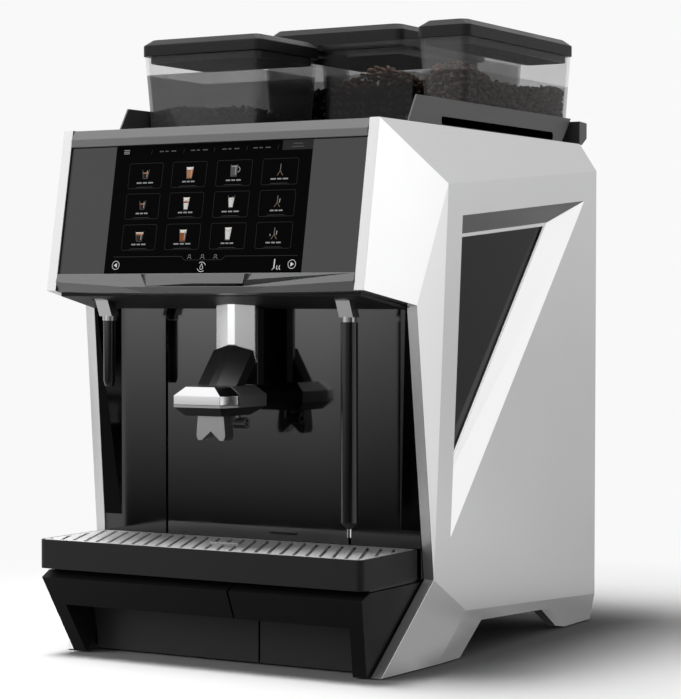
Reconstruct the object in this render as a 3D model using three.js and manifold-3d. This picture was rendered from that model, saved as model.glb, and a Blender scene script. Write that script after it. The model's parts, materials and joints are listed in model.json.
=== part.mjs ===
// Countertop bean-to-cup coffee machine, in millimetres, +Z up.
// X runs to the machine's right, Y from its front to its back. While the pieces are built, Y is
// zero at the tips of the front feet and Z is zero under the silver feet. The whole group is then
// moved so that its origin is the middle of the footprint, on the counter.
import * as THREE from 'three';
import { mergeVertices } from 'three/addons/utils/BufferGeometryUtils.js';
import Module from 'manifold-3d';

const wasm = await Module();
wasm.setup();

// Shared clearances and the overrun of every cut
const gap = 0.3;
const over = 2;
const weld = 0.001;

// Side shells: flat facets between named corners. Half widths are set in from the widest one.
const halfWidth = 223.5;
const browInset = 18.5;
const kneeInset = 0.4;
const rearInset = 8.6;
const toeInset = 17.9;
const browHalf = halfWidth - browInset;
const kneeHalf = halfWidth - kneeInset;
const rearHalf = halfWidth - rearInset;
const toeHalf = halfWidth - toeInset;
const shellRim = 12.3;
const shellWall = 4;

// Heights of the shell's corners, from the silver top edge down and from the floor up
const topEdgeZ = 587;
const shoulderDrop = 64.8;
const rearChamferDrop = 32;
const browHeight = 180.5;
const throatDrop = 16.1;
const shoulderZ = topEdgeZ - shoulderDrop;
const rearTopZ = topEdgeZ - rearChamferDrop;
const browBottomZ = topEdgeZ - browHeight;
const throatZ = browBottomZ - throatDrop;
const kneeZ = 95.9;
const creaseFootZ = 53.7;
const rearLowZ = 31.8;
const archFrontZ = 38;
const archRearZ = 29;

// Places of the shell's corners from the toes back, and from the rear edge forward
const browTopY = -2.3;
const browBottomY = -35.5;
const throatY = 54.3;
const kneeY = 83.7;
const shoulderY = 115.9;
const creaseFootY = 162;
const toeCreaseY = 114;
const frontHeelY = 167;
const archFrontY = 206;
const rearY = 522.5;
const rearChamferRun = 29.5;
const rearFootLength = 76;
const archRearRun = 57.5;
const topEdgeRearY = rearY - rearChamferRun;
const rearFootFrontY = rearY - rearFootLength;
const archRearY = rearFootFrontY - archRearRun;

// Sunken window in each side shell, from the rear edge, the top edge and the knee
const windowFrontBack = 35;
const windowFrontDrop = 98.2;
const windowRearInset = 38.6;
const windowRearDrop = 70.3;
const windowLowBack = 39.5;
const windowLowRise = 42.7;
const windowFrontTopY = shoulderY + windowFrontBack;
const windowFrontTopZ = topEdgeZ - windowFrontDrop;
const windowRearTopY = rearY - windowRearInset;
const windowRearTopZ = topEdgeZ - windowRearDrop;
const windowLowY = kneeY + windowLowBack;
const windowLowZ = kneeZ + windowLowRise;
const paneFrontInset = 6.1;
const paneFrontDrop = 21.5;
const paneRearInset = 61.9;
const paneRearDrop = 27.5;
const paneLowInset = 9;
const paneLowRise = 38;
const paneFrontTopY = windowFrontTopY + paneFrontInset;
const paneFrontTopZ = windowFrontTopZ - paneFrontDrop;
const paneRearTopY = windowRearTopY - paneRearInset;
const paneRearTopZ = windowRearTopZ - paneRearDrop;
const paneLowY = windowLowY + paneLowInset;
const paneLowZ = windowLowZ + paneLowRise;
const windowDepth = 22;
const windowWall = 3;
const windowLip = 4;
const windowLipThick = 2;
const paneThick = 2.5;

// Feet, floor sheet, tray shelf
const footWidth = 12;
const footInset = 3;
const padProud = 1.5;
const padEdge = 2;
const floorThick = 2;
const floorLowZ = 3;
const floorFrontY = 26;
const floorStepRun = 10;
const floorEdge = 12;
const floorRaisedZ = archFrontZ;
const drawerTopDrop = 2.9;
const drawerTopZ = kneeZ - drawerTopDrop;
const shelfLift = 0.4;
const shelfZ = drawerTopZ + shelfLift;
const shelfThick = 2.7;
const shelfFrontY = -24;
const shelfSideInset = 3.6;
const shelfHook = 12;
const bayBackY = 79;
const shelfRearRun = 33;
const shelfRearY = bayBackY + shelfRearRun;

// Rear cover with its vents, inlets
const rearCoverInset = 25.5;
const rearCoverY = rearY - rearCoverInset;
const rearCoverThick = 2.5;
const floorRearGap = 1;
const floorRearY = rearCoverY - floorRearGap;
const ventWidth = 120;
const ventHeight = 5;
const ventPitch = 13;
const ventRows = 9;
const ventTopDrop = 225;
const ventLowZ = rearTopZ - ventTopDrop;
const inletInset = 103.5;
const inletX = inletInset - halfWidth;
const inletZ = 84;
const inletWidth = 52;
const inletHeight = 32;
const inletDepth = 24;
const inletFlange = 4;
const inletWall = 3;
const inletPinWidth = 3;
const waterInletInset = 113.5;
const waterInletX = halfWidth - waterInletInset;
const waterInletZ = 84;
const waterInletRadius = 12.5;
const waterInletBore = 8;
const waterInletLength = 20;
const waterNutRadius = 18;
const waterNutLength = 9;

// Top deck, collar round the hoppers
const deckThick = 3;
const deckDrop = 0.7;
const deckFrontY = 14;
const deckRearInset = 15.5;
const deckRearY = rearY - deckRearInset;
const collarSheet = 2.1;
const collarRise = 31.7;
const collarTopZ = topEdgeZ + collarRise;
const collarFrontLowY = 81;
const collarFrontLean = 20;
const collarFrontTopY = collarFrontLowY + collarFrontLean;
const collarRearTopInset = 26.5;
const collarRearLean = 28;
const collarRearTopY = rearY - collarRearTopInset;
const collarRearLowY = collarRearTopY - collarRearLean;
const collarSlotFrontRun = 77;
const collarSlotRearRun = 24;
const collarSlotRise = 3;
const collarSlotHeight = 8.5;
const collarSlotFrontY = collarFrontLowY + collarSlotFrontRun;
const collarSlotRearY = collarRearLowY - collarSlotRearRun;
const collarSlotLowZ = topEdgeZ + collarSlotRise;
const collarSlotTopZ = collarSlotLowZ + collarSlotHeight;
const collarSlotRadius = 3.5;
const barFrontInset = 23;
const barRearInset = 1.9;
const barSideInset = 2.5;
const barRise = 28.3;
const barEdgeRise = 8.4;
const barFrontY = rearY - barFrontInset;
const barRearY = rearY - barRearInset;
const barHalf = browHalf - barSideInset;
const barTopZ = topEdgeZ + barRise;
const barEdgeZ = topEdgeZ + barEdgeRise;
const barFall = 1;
const barGrooveSide = 12;
const barGrooveWall = 3;

// Fascia, measured along its own slope from its lower edge, and outward from its face
const topBarHeight = 19.6;
const bottomBarHeight = 19;
const barDepth = 12;
const topBarCreaseShare = 0.42;
const topBarBulge = 1.6;
const topBarLean = 2.4;
const bottomBarBulge = 3;
const bottomBarCreaseShare = 0.2;
const bottomBarDip = 3;
const scoopDepth = 7;
const scoopRiseShare = 0.5;
const glassSetBack = 3.5;
const glassThick = 3;
const displayWidth = 262;
const displayHeight = 140;
const displayThick = 6;
const displayCentreX = -4;
const carrierThick = 2.5;
const badgeTopHalf = 64.5;
const badgeLowHalf = 62.5;
const badgeNotchHalf = 72;
const badgeHeight = 13;
const badgeThick = 2;
const badgeNotchDepth = 2.5;
const badgeCentreX = -6;
const badgeLowerGap = 1.2;

// Underside of the head, back of the cup bay
const soffitThick = 3;
const soffitFrontRun = 12.7;
const soffitFrontY = browBottomY + soffitFrontRun;
const soffitLip = 9;
const soffitSet = 3.8;
const soffitRearZ = throatZ - soffitSet;
const bayPanelThick = 3;
const bayCentreHalf = 119.6;
const bayGroove = 3.2;
const bayBackInset = 38.5;
const bayBackHalf = halfWidth - bayBackInset;

// Spout: silver cover, carriage, neck, head, from the soffit down
const columnNoseHalf = 4.8;
const columnNoseY = 28;
const columnHalf = 25.5;
const columnWingRun = 9;
const columnDepth = 27;
const columnWingY = columnNoseY + columnWingRun;
const columnRearY = columnNoseY + columnDepth;
const columnSkin = 2.5;
const columnRise = 81.4;
const coverReach = 39.6;
const chevronRise = 13;
const columnTopZ = soffitRearZ + columnRise;
const chevronNoseZ = soffitRearZ - coverReach;
const chevronWingZ = chevronNoseZ - chevronRise;
const neckForwardShare = 0.86;
const neckDrop = 44;
const headBevelHeight = 9.7;
const ringHeight = 9.9;
const gasketHeight = 2.9;
const headConeHeight = 9.5;
const headTopZ = chevronNoseZ - neckDrop;
const headBevelZ = headTopZ - headBevelHeight;
const ringLowZ = headBevelZ - ringHeight;
const gasketLowZ = ringLowZ - gasketHeight;
const headLowZ = gasketLowZ - headConeHeight;
const headForward = 67.4;
const headFrontY = columnNoseY - headForward;
const headFrontHalf = 30;
const headChamferRun = 23.4;
const headSideY = headFrontY + headChamferRun;
const headHalf = 38;
const headDepth = 80.4;
const headRearY = headFrontY + headDepth;
const headTopRun = 6.4;
const headTopFrontY = headFrontY + headTopRun;
const headTopFrontHalf = 18.5;
const headTopHalf = 27;
const headLowInset = 13;
const trimReach = 26.4;
const trimRearY = headFrontY + trimReach;
const trimSkin = 3;
const nozzleHalf = 18.7;
const nozzleSetBack = 27;
const nozzleFrontY = headFrontY + nozzleSetBack;
const nozzleDepth = 17;
const nozzleHeight = 27;
const nozzleLowZ = headLowZ - nozzleHeight;
const nozzleNotchHalf = 12;
const nozzleNotchRise = 10;
const nozzleNotchZ = nozzleLowZ + nozzleNotchRise;
const nozzleTipWidth = 5;
const nozzleTaper = 2;
const nozzleBore = 3;
const milkPipeX = 9;
const milkPipeForward = 19;
const milkPipeY = headRearY - milkPipeForward;
const milkPipeRadius = 6;
const milkPipeLength = 16;
const milkPipeDrop = 9;
const milkPipeZ = headLowZ - milkPipeDrop;
const milkPipeBore = 3.5;
const spoutHole = 2.4;
const guideWall = 4;
const guideTopDrop = 35;
const guideTopZ = topEdgeZ - guideTopDrop;

// Wands, hung from pivots in the head
const wandSideInset = 48;
const wandX = browHalf - wandSideInset;
const wandPivotY = 6;
const wandPivotDrop = 3.5;
const wandPivotZ = browBottomZ - wandPivotDrop;
const wandBarrelRadius = 8.2;
const wandArmWidth = 17;
const wandArmDepth = 14;
const wandArmRun = 11;
const wandY = wandPivotY + wandArmRun;
const wandArmDrop = 25;
const wandArmLowZ = wandPivotZ - wandArmDrop;
const wandCollarHeight = 5;
const wandCollarZ = wandArmLowZ - wandCollarHeight;
const wandCollarRadius = 7.6;
const wandPinRadius = 4;
const wandPinFit = 0.08;
const wandLug = 4;
const wandHoleFront = 13;
const wandHoleRear = 14;
const steamTubeRadius = 9.2;
const steamTubeLength = 213;
const steamConeHeight = 6.5;
const steamTipLength = 9.2;
const steamTubeLowZ = wandCollarZ - steamTubeLength;
const steamConeZ = steamTubeLowZ - steamConeHeight;
const steamTipRadius = 2.4;
const steamTipLowZ = steamConeZ - steamTipLength;
const waterTubeRadius = 6.7;
const waterTubeLength = 68;
const waterTipHeight = 6;
const waterTubeLowZ = wandCollarZ - waterTubeLength;
const waterTipRadius = 5;
const waterTipLowZ = waterTubeLowZ - waterTipHeight;
const wandBore = 1.2;

// Drip tray and grid
const traySideGap = 2.2;
const trayHalf = kneeHalf - shellRim - traySideGap;
const trayOverhang = 46.1;
const trayFrontY = -trayOverhang;
const trayRearGap = 0.6;
const trayRearY = bayBackY - trayRearGap;
const trayLift = 0.4;
const trayLowZ = shelfZ + shelfThick + trayLift;
const trayHeight = 32.3;
const trayTopZ = trayLowZ + trayHeight;
const trayWall = 2.6;
const trayCorner = 7;
const trayLedge = 3;
const gridThick = 2.4;
const gridSlotWidth = 4.6;
const gridSlotPitch = 16;
const gridSlotSkew = 56;
const gridRim = 5;
const gridHandleX = -2;
const gridHandleY = 18;
const gridHandleWidth = 36;
const gridHandleLength = 7;
const gridHandleFrame = 3;
const gridHandleRise = 1.6;
const gridHandleBar = 2;

// Drawers under the tray
const drawerFrontTopY = -43;
const drawerBevelHeight = 7;
const drawerFrontTopZ = drawerTopZ - drawerBevelHeight;
const drawerBevelRun = 15;
const drawerBevelY = drawerFrontTopY + drawerBevelRun;
const drawerFootY = -5;
const drawerTopInset = 1.6;
const drawerTopHalf = trayHalf - drawerTopInset;
const drawerFootGap = 2.3;
const drawerFootHalf = toeHalf - shellRim - drawerFootGap;
const drawerBandHeight = 38;
const drawerBandZ = drawerTopZ - drawerBandHeight;
const drawerPanelY = 21;
const drawerPanelLowZ = 1;
const drawerWall = 3;
const drawerLegWidth = 17;
const drawerSeamX = 41;
const drawerSeam = 2.4;
const binWall = 2.2;
const binSideGap = 5;
const binFootGap = 4.8;
const binDepth = 168;
const binTopGap = 5;
const binTopZ = drawerTopZ - binTopGap;
const binDraft = 4;

// Hoppers: front left, middle, right, with lids and beans
const hopperWall = 2.4;
const hopperCorner = 9.6;
const hopperTaper = 6;
const hopperFloor = 5;
const hopperFlare = 3.7;
const hopperReach = browHalf - shellRim - gap - collarSheet + hopperFlare;
const spigotRadius = 19;
const spigotBore = 16;
const spigotDrop = 10;
const lidHeight = 20;
const lidChamfer = 7;
const lidOverhang = 1.2;
const lidWall = 3;
const lidPlug = 8;
const leftHopperWidth = 164;
const leftHopperLeft = -hopperReach;
const leftHopperRight = leftHopperLeft + leftHopperWidth;
const leftHopperFront = 133;
const leftHopperDepth = 134;
const leftHopperRear = leftHopperFront + leftHopperDepth;
const leftHopperRise = 95;
const leftHopperTopZ = topEdgeZ + leftHopperRise;
const leftBeanRise = 27;
const leftBeanZ = topEdgeZ + leftBeanRise;
const rightHopperWidth = 65;
const rightHopperRight = hopperReach;
const rightHopperLeft = rightHopperRight - rightHopperWidth;
const rightHopperFront = 217;
const rightHopperRearGap = 1.5;
const rightHopperRear = barFrontY - rightHopperRearGap;
const rightHopperRise = 107;
const rightHopperTopZ = topEdgeZ + rightHopperRise;
const rightBeanRise = 69;
const rightBeanZ = topEdgeZ + rightBeanRise;
const middleSideGap = 4;
const middleHopperRight = rightHopperLeft - middleSideGap;
const middleHopperSet = 84;
const middleHopperLeft = leftHopperLeft + middleHopperSet;
const middleFrontGap = 32;
const middleHopperInner = leftHopperRight + middleFrontGap;
const middleStepGap = 5;
const middleHopperStep = leftHopperRear + middleStepGap;
const middleHopperRearGap = 5.5;
const middleHopperRear = barFrontY - middleHopperRearGap;
const middleHopperRise = 101;
const middleHopperTopZ = topEdgeZ + middleHopperRise;
const middleFlange = 5;
const middleFlangeThick = 5;
const middleLidRise = 28;
const middleLidTopZ = middleHopperTopZ + middleFlangeThick + middleLidRise;
const middleLidSideInset = 47;
const middleLidRight = middleHopperRight - middleLidSideInset;
const middleLidInset = 4;
const middleBeanRise = 65;
const middleBeanZ = topEdgeZ + middleBeanRise;
const beanClearance = 1;
const beanCrown = 9;

// Machinery inside the housing
const grinderRadius = 33;
const grinderHeight = 60;
const grinderNeckRadius = 24;
const grinderNeckHeight = 14;
const grinderMotorRadius = 28;
const grinderMotorHeight = 95;
const leftGrinderShare = 0.5;
const leftGrinderX = leftHopperLeft + leftHopperWidth * leftGrinderShare;
const leftGrinderY = leftHopperFront + leftHopperDepth * leftGrinderShare;
const rearGrinderBack = 113;
const rearGrinderY = rightHopperFront + rearGrinderBack;
const rightGrinderInset = 39;
const rightGrinderX = rightHopperRight - rightGrinderInset;
const middleGrinderInset = 95;
const middleGrinderX = middleHopperRight - middleGrinderInset;
const boilerInset = 118.5;
const boilerX = halfWidth - boilerInset;
const boilerForward = 97;
const boilerY = rearCoverY - boilerForward;
const steamBoilerRadius = 52;
const steamBoilerHeight = 190;
const coffeeBoilerRadius = 42;
const coffeeBoilerHeight = 150;
const boilerLegHeight = 25;
const boilerLegRadius = 6;
const boilerDomeShare = 0.35;
const boilerPortRadius = 7;
const boilerPortHeight = 12;
const brewWidth = 96;
const brewDepth = 84;
const brewHeight = 332;
const brewPost = 10;
const brewPlate = 8;
const brewChamberRadius = 31;
const brewChamberHeight = 66;
const brewChamberRise = 150;
const brewPistonRadius = 27;
const brewPistonGap = 14;
const brewSpindleRadius = 9;
const pumpForward = 43;
const pumpRadius = 30;
const pumpLength = 110;
const pumpHeadRadius = 22;
const pumpHeadLength = 40;
const pumpSaddleHeight = 12;
const boardWidth = 170;
const boardHeight = 110;
const boardThick = 2;
const boardRise = 140;
const boardStandoff = 8;
const boardStandoffRadius = 4;
const boardChip = 22;
const boardChipHeight = 6;
const boardChipShares = [0.2, 0.5, 0.8];

// Materials, from the look of each piece
const finish = (color, roughness, metalness = 0, more = {}) =>
  new THREE.MeshStandardMaterial({ color, roughness, metalness, ...more });
const silver = finish(0xd9dadb, 0.35, 0.3);
const chrome = finish(0xe6e6e8, 0.1, 1);
const steel = finish(0xb7b8ba, 0.35, 0.9);
const charcoal = finish(0x333334, 0.5);
const black = finish(0x141415, 0.45);
const glossBlack = finish(0x0b0b0c, 0.08);
const barGrey = finish(0x77787a, 0.4, 0.5);
const collarGrey = finish(0x5f6061, 0.5, 0.2);
const smoke = finish(0x4a4a4c, 0.1, 0, { transparent: true, opacity: 0.45 });
const pane = finish(0x2a2a2c, 0.12);
const beanBrown = finish(0x4a2f22, 0.6);
const nozzleGrey = finish(0x8d8e90, 0.45, 0.2);
const rubber = finish(0x1b1b1b, 0.9);
const brass = finish(0xb58d4a, 0.35, 0.8);
const boardGreen = finish(0x1f5a3a, 0.6);

const machine = new THREE.Group();

// A closed three.js geometry as a solid that can be joined and cut
function solidFrom(geometry) {
  const bare = geometry.index ? geometry.toNonIndexed() : geometry.clone();
  bare.deleteAttribute('normal');
  bare.deleteAttribute('uv');
  const merged = mergeVertices(bare, weld);
  return new wasm.Manifold(
    new wasm.Mesh({
      numProp: 3,
      vertProperties: merged.attributes.position.array,
      triVerts: new Uint32Array(merged.index.array),
    }),
  );
}

// The same solid seen in a mirror across the plane X = 0
function mirrored(solid) {
  const mesh = solid.getMesh();
  const places = new Float32Array(mesh.vertProperties);
  for (let i = 0; i < places.length; i += 3) places[i] = -places[i];
  const corners = new Uint32Array(mesh.triVerts);
  for (let i = 0; i < corners.length; i += 3) {
    [corners[i + 1], corners[i + 2]] = [corners[i + 2], corners[i + 1]];
  }
  return new wasm.Manifold(
    new wasm.Mesh({ numProp: 3, vertProperties: places, triVerts: corners }),
  );
}

// Adds a solid to a group as a named mesh
function piece(name, solid, material, group = machine) {
  const mesh = solid.getMesh();
  const geometry = new THREE.BufferGeometry();
  geometry.setAttribute('position', new THREE.BufferAttribute(new Float32Array(mesh.vertProperties), 3));
  geometry.setIndex(new THREE.BufferAttribute(new Uint32Array(mesh.triVerts), 1));
  geometry.computeVertexNormals();
  const made = new THREE.Mesh(geometry, material);
  made.name = name;
  group.add(made);
}

function box(x0, x1, y0, y1, z0, z1) {
  const geometry = new THREE.BoxGeometry(x1 - x0, y1 - y0, z1 - z0);
  return solidFrom(geometry.translate((x0 + x1) / 2, (y0 + y1) / 2, (z0 + z1) / 2));
}

function extruded(points, length) {
  const shape = new THREE.Shape(points.map(([a, b]) => new THREE.Vector2(a, b)));
  return new THREE.ExtrudeGeometry(shape, { depth: length, bevelEnabled: false });
}

// Outline in X and Y, carried from one height to another
function prismZ(points, z0, z1) {
  return solidFrom(extruded(points, z1 - z0).translate(0, 0, z0));
}

// Outline in Y and Z, carried along X
function prismX(points, x0, x1) {
  const turn = new THREE.Matrix4().makeBasis(
    new THREE.Vector3(0, 1, 0),
    new THREE.Vector3(0, 0, 1),
    new THREE.Vector3(1, 0, 0),
  );
  return solidFrom(extruded(points, x1 - x0).applyMatrix4(turn).translate(x0, 0, 0));
}

// Outline in X and Z, carried along Y
function prismY(points, y0, y1) {
  const turn = new THREE.Matrix4().makeBasis(
    new THREE.Vector3(1, 0, 0),
    new THREE.Vector3(0, 0, 1),
    new THREE.Vector3(0, -1, 0),
  );
  return solidFrom(extruded(points, y1 - y0).applyMatrix4(turn).translate(0, y1, 0));
}

// A profile of radius and height, turned about a vertical axis at x, y
function turned(profile, x, y, sides = 24) {
  const points = profile.map(([r, z]) => new THREE.Vector2(r, z));
  const geometry = new THREE.LatheGeometry(points, sides);
  return solidFrom(geometry.rotateX(Math.PI / 2).translate(x, y, 0));
}

// A round bar along X
function barX(radius, x0, x1, y, z, sides = 20) {
  const geometry = new THREE.CylinderGeometry(radius, radius, x1 - x0, sides);
  return solidFrom(geometry.rotateZ(Math.PI / 2).translate((x0 + x1) / 2, y, z));
}

// A round bar along Y
function barY(radius, y0, y1, x, z, sides = 20) {
  const geometry = new THREE.CylinderGeometry(radius, radius, y1 - y0, sides);
  return solidFrom(geometry.translate(x, (y0 + y1) / 2, z));
}

// A round bar along Z
function barZ(radius, z0, z1, x, y, sides = 20) {
  const geometry = new THREE.CylinderGeometry(radius, radius, z1 - z0, sides);
  return solidFrom(geometry.rotateX(Math.PI / 2).translate(x, y, (z0 + z1) / 2));
}

// A closed body through rings of equally many points, counter-clockwise seen from the last ring
function loft(rings) {
  const count = rings[0].length;
  const corners = rings.flat();
  const faces = [];
  for (let r = 0; r + 1 < rings.length; r += 1) {
    for (let i = 0; i < count; i += 1) {
      const a = r * count + i;
      const b = r * count + ((i + 1) % count);
      faces.push([a, b, b + count], [a, b + count, a + count]);
    }
  }
  const flat = rings[0].map(([x, y]) => new THREE.Vector2(x, y));
  const top = (rings.length - 1) * count;
  for (const [a, b, c] of THREE.ShapeUtils.triangulateShape(flat, [])) {
    faces.push([a, c, b], [top + a, top + b, top + c]);
  }
  return polyhedron(corners, faces);
}

function polyhedron(corners, faces) {
  const geometry = new THREE.BufferGeometry();
  geometry.setAttribute('position', new THREE.Float32BufferAttribute(corners.flat(), 3));
  geometry.setIndex(faces.flat());
  return solidFrom(geometry);
}

// Moves each edge of a counter-clockwise outline inward by a distance
function inset(points, distance) {
  const count = points.length;
  return points.map((point, i) => {
    const before = points[(i + count - 1) % count];
    const after = points[(i + 1) % count];
    const normal = ([ax, ay], [bx, by]) => {
      const length = Math.hypot(bx - ax, by - ay);
      return [-(by - ay) / length, (bx - ax) / length];
    };
    const m = normal(before, point);
    const n = normal(point, after);
    const reach = distance / (1 + m[0] * n[0] + m[1] * n[1]);
    return [point[0] + (m[0] + n[0]) * reach, point[1] + (m[1] + n[1]) * reach];
  });
}

// A rectangle with round corners, counter-clockwise, as a ring of points at height z
function roundedRing(x0, x1, y0, y1, radius, z, steps = 4) {
  const ring = [];
  const centres = [
    [x1 - radius, y1 - radius],
    [x0 + radius, y1 - radius],
    [x0 + radius, y0 + radius],
    [x1 - radius, y0 + radius],
  ];
  centres.forEach(([cx, cy], quarter) => {
    for (let i = 0; i <= steps; i += 1) {
      const angle = ((quarter + i / steps) * Math.PI) / 2;
      ring.push([cx + radius * Math.cos(angle), cy + radius * Math.sin(angle), z]);
    }
  });
  return ring;
}

// Half width of the plane through three corners [half width, y, z], at a place y, z
function planeHalf([a, b, c], y, z) {
  const u = b.map((value, i) => value - a[i]);
  const v = c.map((value, i) => value - a[i]);
  const n = [u[1] * v[2] - u[2] * v[1], u[2] * v[0] - u[0] * v[2], u[0] * v[1] - u[1] * v[0]];
  return a[0] - (n[1] * (y - a[1]) + n[2] * (z - a[2])) / n[0];
}

// Corners of the right side shell. Where a corner must lie on a facet, its half width follows.
const brow = [browHalf, browTopY, topEdgeZ];
const chin = [browHalf, browBottomY, browBottomZ];
const shoulder = [halfWidth, shoulderY, shoulderZ];
const knee = [kneeHalf, kneeY, kneeZ];
const rearTop = [rearHalf, rearY, rearTopZ];
const toe = [toeHalf, 0, 0];
const cheekPlane = [brow, chin, shoulder];
const flankPlane = [shoulder, knee, rearTop];
const crownPlane = [brow, shoulder, rearTop];
const onPlane = (plane, y, z) => [planeHalf(plane, y, z), y, z];
const throat = onPlane(cheekPlane, throatY, throatZ);
const creaseFoot = onPlane(flankPlane, creaseFootY, creaseFootZ);
const rearLow = onPlane(flankPlane, rearY, rearLowZ);
const topRear = onPlane(crownPlane, topEdgeRearY, topEdgeZ);
const toePlane = [knee, toe, creaseFoot];
const toeCrease = onPlane(toePlane, toeCreaseY, 0);
const skirtPlane = [creaseFoot, toeCrease, rearLow];
const frontHeel = onPlane(skirtPlane, frontHeelY, 0);
const archFront = onPlane(skirtPlane, archFrontY, archFrontZ);
const archRear = onPlane(skirtPlane, archRearY, archRearZ);
const rearFootFront = onPlane(skirtPlane, rearFootFrontY, 0);
const rearFootRear = onPlane(skirtPlane, rearY, 0);
const shellRing = [brow, chin, throat, knee, toe, toeCrease, frontHeel, archFront, archRear];
shellRing.push(rearFootFront, rearFootRear, rearLow, rearTop, topRear);
const shellFacets = [
  [brow, shoulder, rearTop, topRear],
  [brow, chin, throat, shoulder],
  [throat, knee, shoulder],
  [shoulder, knee, creaseFoot, rearLow, rearTop],
  [knee, toe, toeCrease, creaseFoot],
  [creaseFoot, toeCrease, frontHeel, archFront, archRear, rearFootFront, rearFootRear, rearLow],
];

// Half width of the side shell's inner face at a place, less the usual gap
function between(y, z) {
  const planes = [cheekPlane, flankPlane, crownPlane, toePlane, skirtPlane];
  return Math.min(...planes.map((plane) => planeHalf(plane, y, z))) - shellRim - gap;
}

// A slab between the facets shifted inward by two depths
function facetSlab(outerDepth, innerDepth) {
  const corners = [...shellRing, shoulder, creaseFoot];
  const count = corners.length;
  const places = corners.map(([x, y, z]) => [x - outerDepth, y, z]);
  places.push(...corners.map(([x, y, z]) => [x - innerDepth, y, z]));
  const faces = [];
  for (const facet of shellFacets) {
    const flat = facet.map(([, y, z]) => new THREE.Vector2(y, z));
    for (const triangle of THREE.ShapeUtils.triangulateShape(flat, [])) {
      const [a, b, c] = triangle.map((i) => corners.indexOf(facet[i]));
      faces.push([a, b, c], [count + a, count + c, count + b]);
    }
  }
  shellRing.forEach((_, a) => {
    const b = (a + 1) % shellRing.length;
    faces.push([a, count + a, count + b], [a, count + b, b]);
  });
  return polyhedron(places, faces);
}

const windowOutline = [
  [windowFrontTopY, windowFrontTopZ],
  [windowLowY, windowLowZ],
  [windowRearTopY, windowRearTopZ],
];
const paneOutline = [
  [paneFrontTopY, paneFrontTopZ],
  [paneLowY, paneLowZ],
  [paneRearTopY, paneRearTopZ],
];

// A ring of the outline at a depth under the flank facet
function underFlank(outline, depth) {
  return outline.map(([y, z]) => [planeHalf(flankPlane, y, z) - depth, y, z]);
}

// A funnel from the flank inward. It starts outside the face, on the same slanted walls.
function funnel(outer, inner, depth, start) {
  const along = (share) => outer.map(([y, z], i) => [
    y + (inner[i][0] - y) * share,
    z + (inner[i][1] - z) * share,
  ]);
  return polyhedron(
    [...underFlank(along(start / depth), start), ...underFlank(inner, depth)],
    [[0, 1, 2], [3, 5, 4], [0, 3, 1], [1, 3, 4], [1, 4, 2], [2, 4, 5], [2, 5, 0], [0, 5, 3]],
  );
}

function sideShell() {
  const outline = shellRing.map(([, y, z]) => [y, z]);
  const pocket = facetSlab(shellWall, shellRim + over)
    .intersect(prismX(inset(outline, shellRim), 0, halfWidth));
  const seat = windowDepth + windowLipThick;
  const walls = funnel(inset(windowOutline, -windowWall), inset(paneOutline, -windowWall), seat, -over)
    .intersect(facetSlab(0, seat + over));
  const mouth = funnel(windowOutline, paneOutline, windowDepth, -over);
  const lipOutline = inset(paneOutline, windowLip);
  const lipHole = prismX(lipOutline, 0, halfWidth);
  return facetSlab(0, shellRim).subtract(pocket).add(walls).subtract(mouth).subtract(lipHole);
}

function sidePane() {
  const seat = windowDepth + windowLipThick + gap;
  return polyhedron(
    [...underFlank(paneOutline, seat), ...underFlank(paneOutline, seat + paneThick)],
    [[0, 1, 2], [3, 5, 4], [0, 3, 1], [1, 3, 4], [1, 4, 2], [2, 4, 5], [2, 5, 0], [0, 5, 3]],
  );
}

function sides() {
  piece('side_shell_right', sideShell(), silver);
  piece('side_shell_left', mirrored(sideShell()), silver);
  piece('side_pane_right', sidePane(), pane);
  piece('side_pane_left', mirrored(sidePane()), pane);
}

// Feet: black blocks just inside the silver feet, with pads that stand proud of them
const footOuter = between(rearY, 0);
const footInner = footOuter - footWidth;
const toeLineY = (z) => (kneeY * z) / kneeZ;

function footBlock(outline, padFront, padRear) {
  const block = prismX(outline, footInner, footOuter);
  const pad = box(footInner + padEdge, footOuter - padEdge, padFront, padRear, -padProud, over);
  return block.add(pad);
}

function feet() {
  const frontOuter = Math.min(footOuter, toeHalf - shellRim - gap);
  const front = footBlock(
    [
      [footInset, 0],
      [frontHeelY - footInset, 0],
      [archFrontY - footInset, archFrontZ - floorThick],
      [toeLineY(archFrontZ) + footInset, archFrontZ - floorThick],
    ],
    toeCreaseY,
    frontHeelY - footInset - padEdge,
  ).intersect(box(0, frontOuter, -over, rearY, -rearLowZ, kneeZ));
  const rear = footBlock(
    [
      [rearFootFrontY + footInset, 0],
      [rearY - footInset, 0],
      [rearY - footInset, rearLowZ],
      [archRearY + footInset, rearLowZ],
    ],
    rearFootFrontY + footInset + padEdge,
    rearY - footInset - padEdge,
  );
  piece('foot_front_right', front, rubber);
  piece('foot_front_left', mirrored(front), rubber);
  piece('foot_rear_right', rear, rubber);
  piece('foot_rear_left', mirrored(rear), rubber);
}

// Floor sheet: low under the drawers, raised over the arch, with a turned-up rear edge
function floorSheet() {
  const half = footInner - gap;
  const stepY = archFrontY - floorStepRun;
  const outline = [
    [floorFrontY, floorLowZ],
    [stepY, floorLowZ],
    [archFrontY, floorRaisedZ],
    [floorRearY, floorRaisedZ],
    [floorRearY, floorRaisedZ + floorEdge],
    [floorRearY - floorThick, floorRaisedZ + floorEdge],
    [floorRearY - floorThick, floorRaisedZ + floorThick],
    [archFrontY - floorThick, floorRaisedZ + floorThick],
    [stepY - floorThick, floorLowZ + floorThick],
    [floorFrontY, floorLowZ + floorThick],
  ];
  const wing = between(archRearY, floorRaisedZ);
  const sheet = prismX(outline, -half, half);
  const tab = box(-wing, wing, archRearY, floorRearY, floorRaisedZ, floorRaisedZ + floorThick);
  piece('floor_sheet', sheet.add(tab), steel);
}

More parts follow.
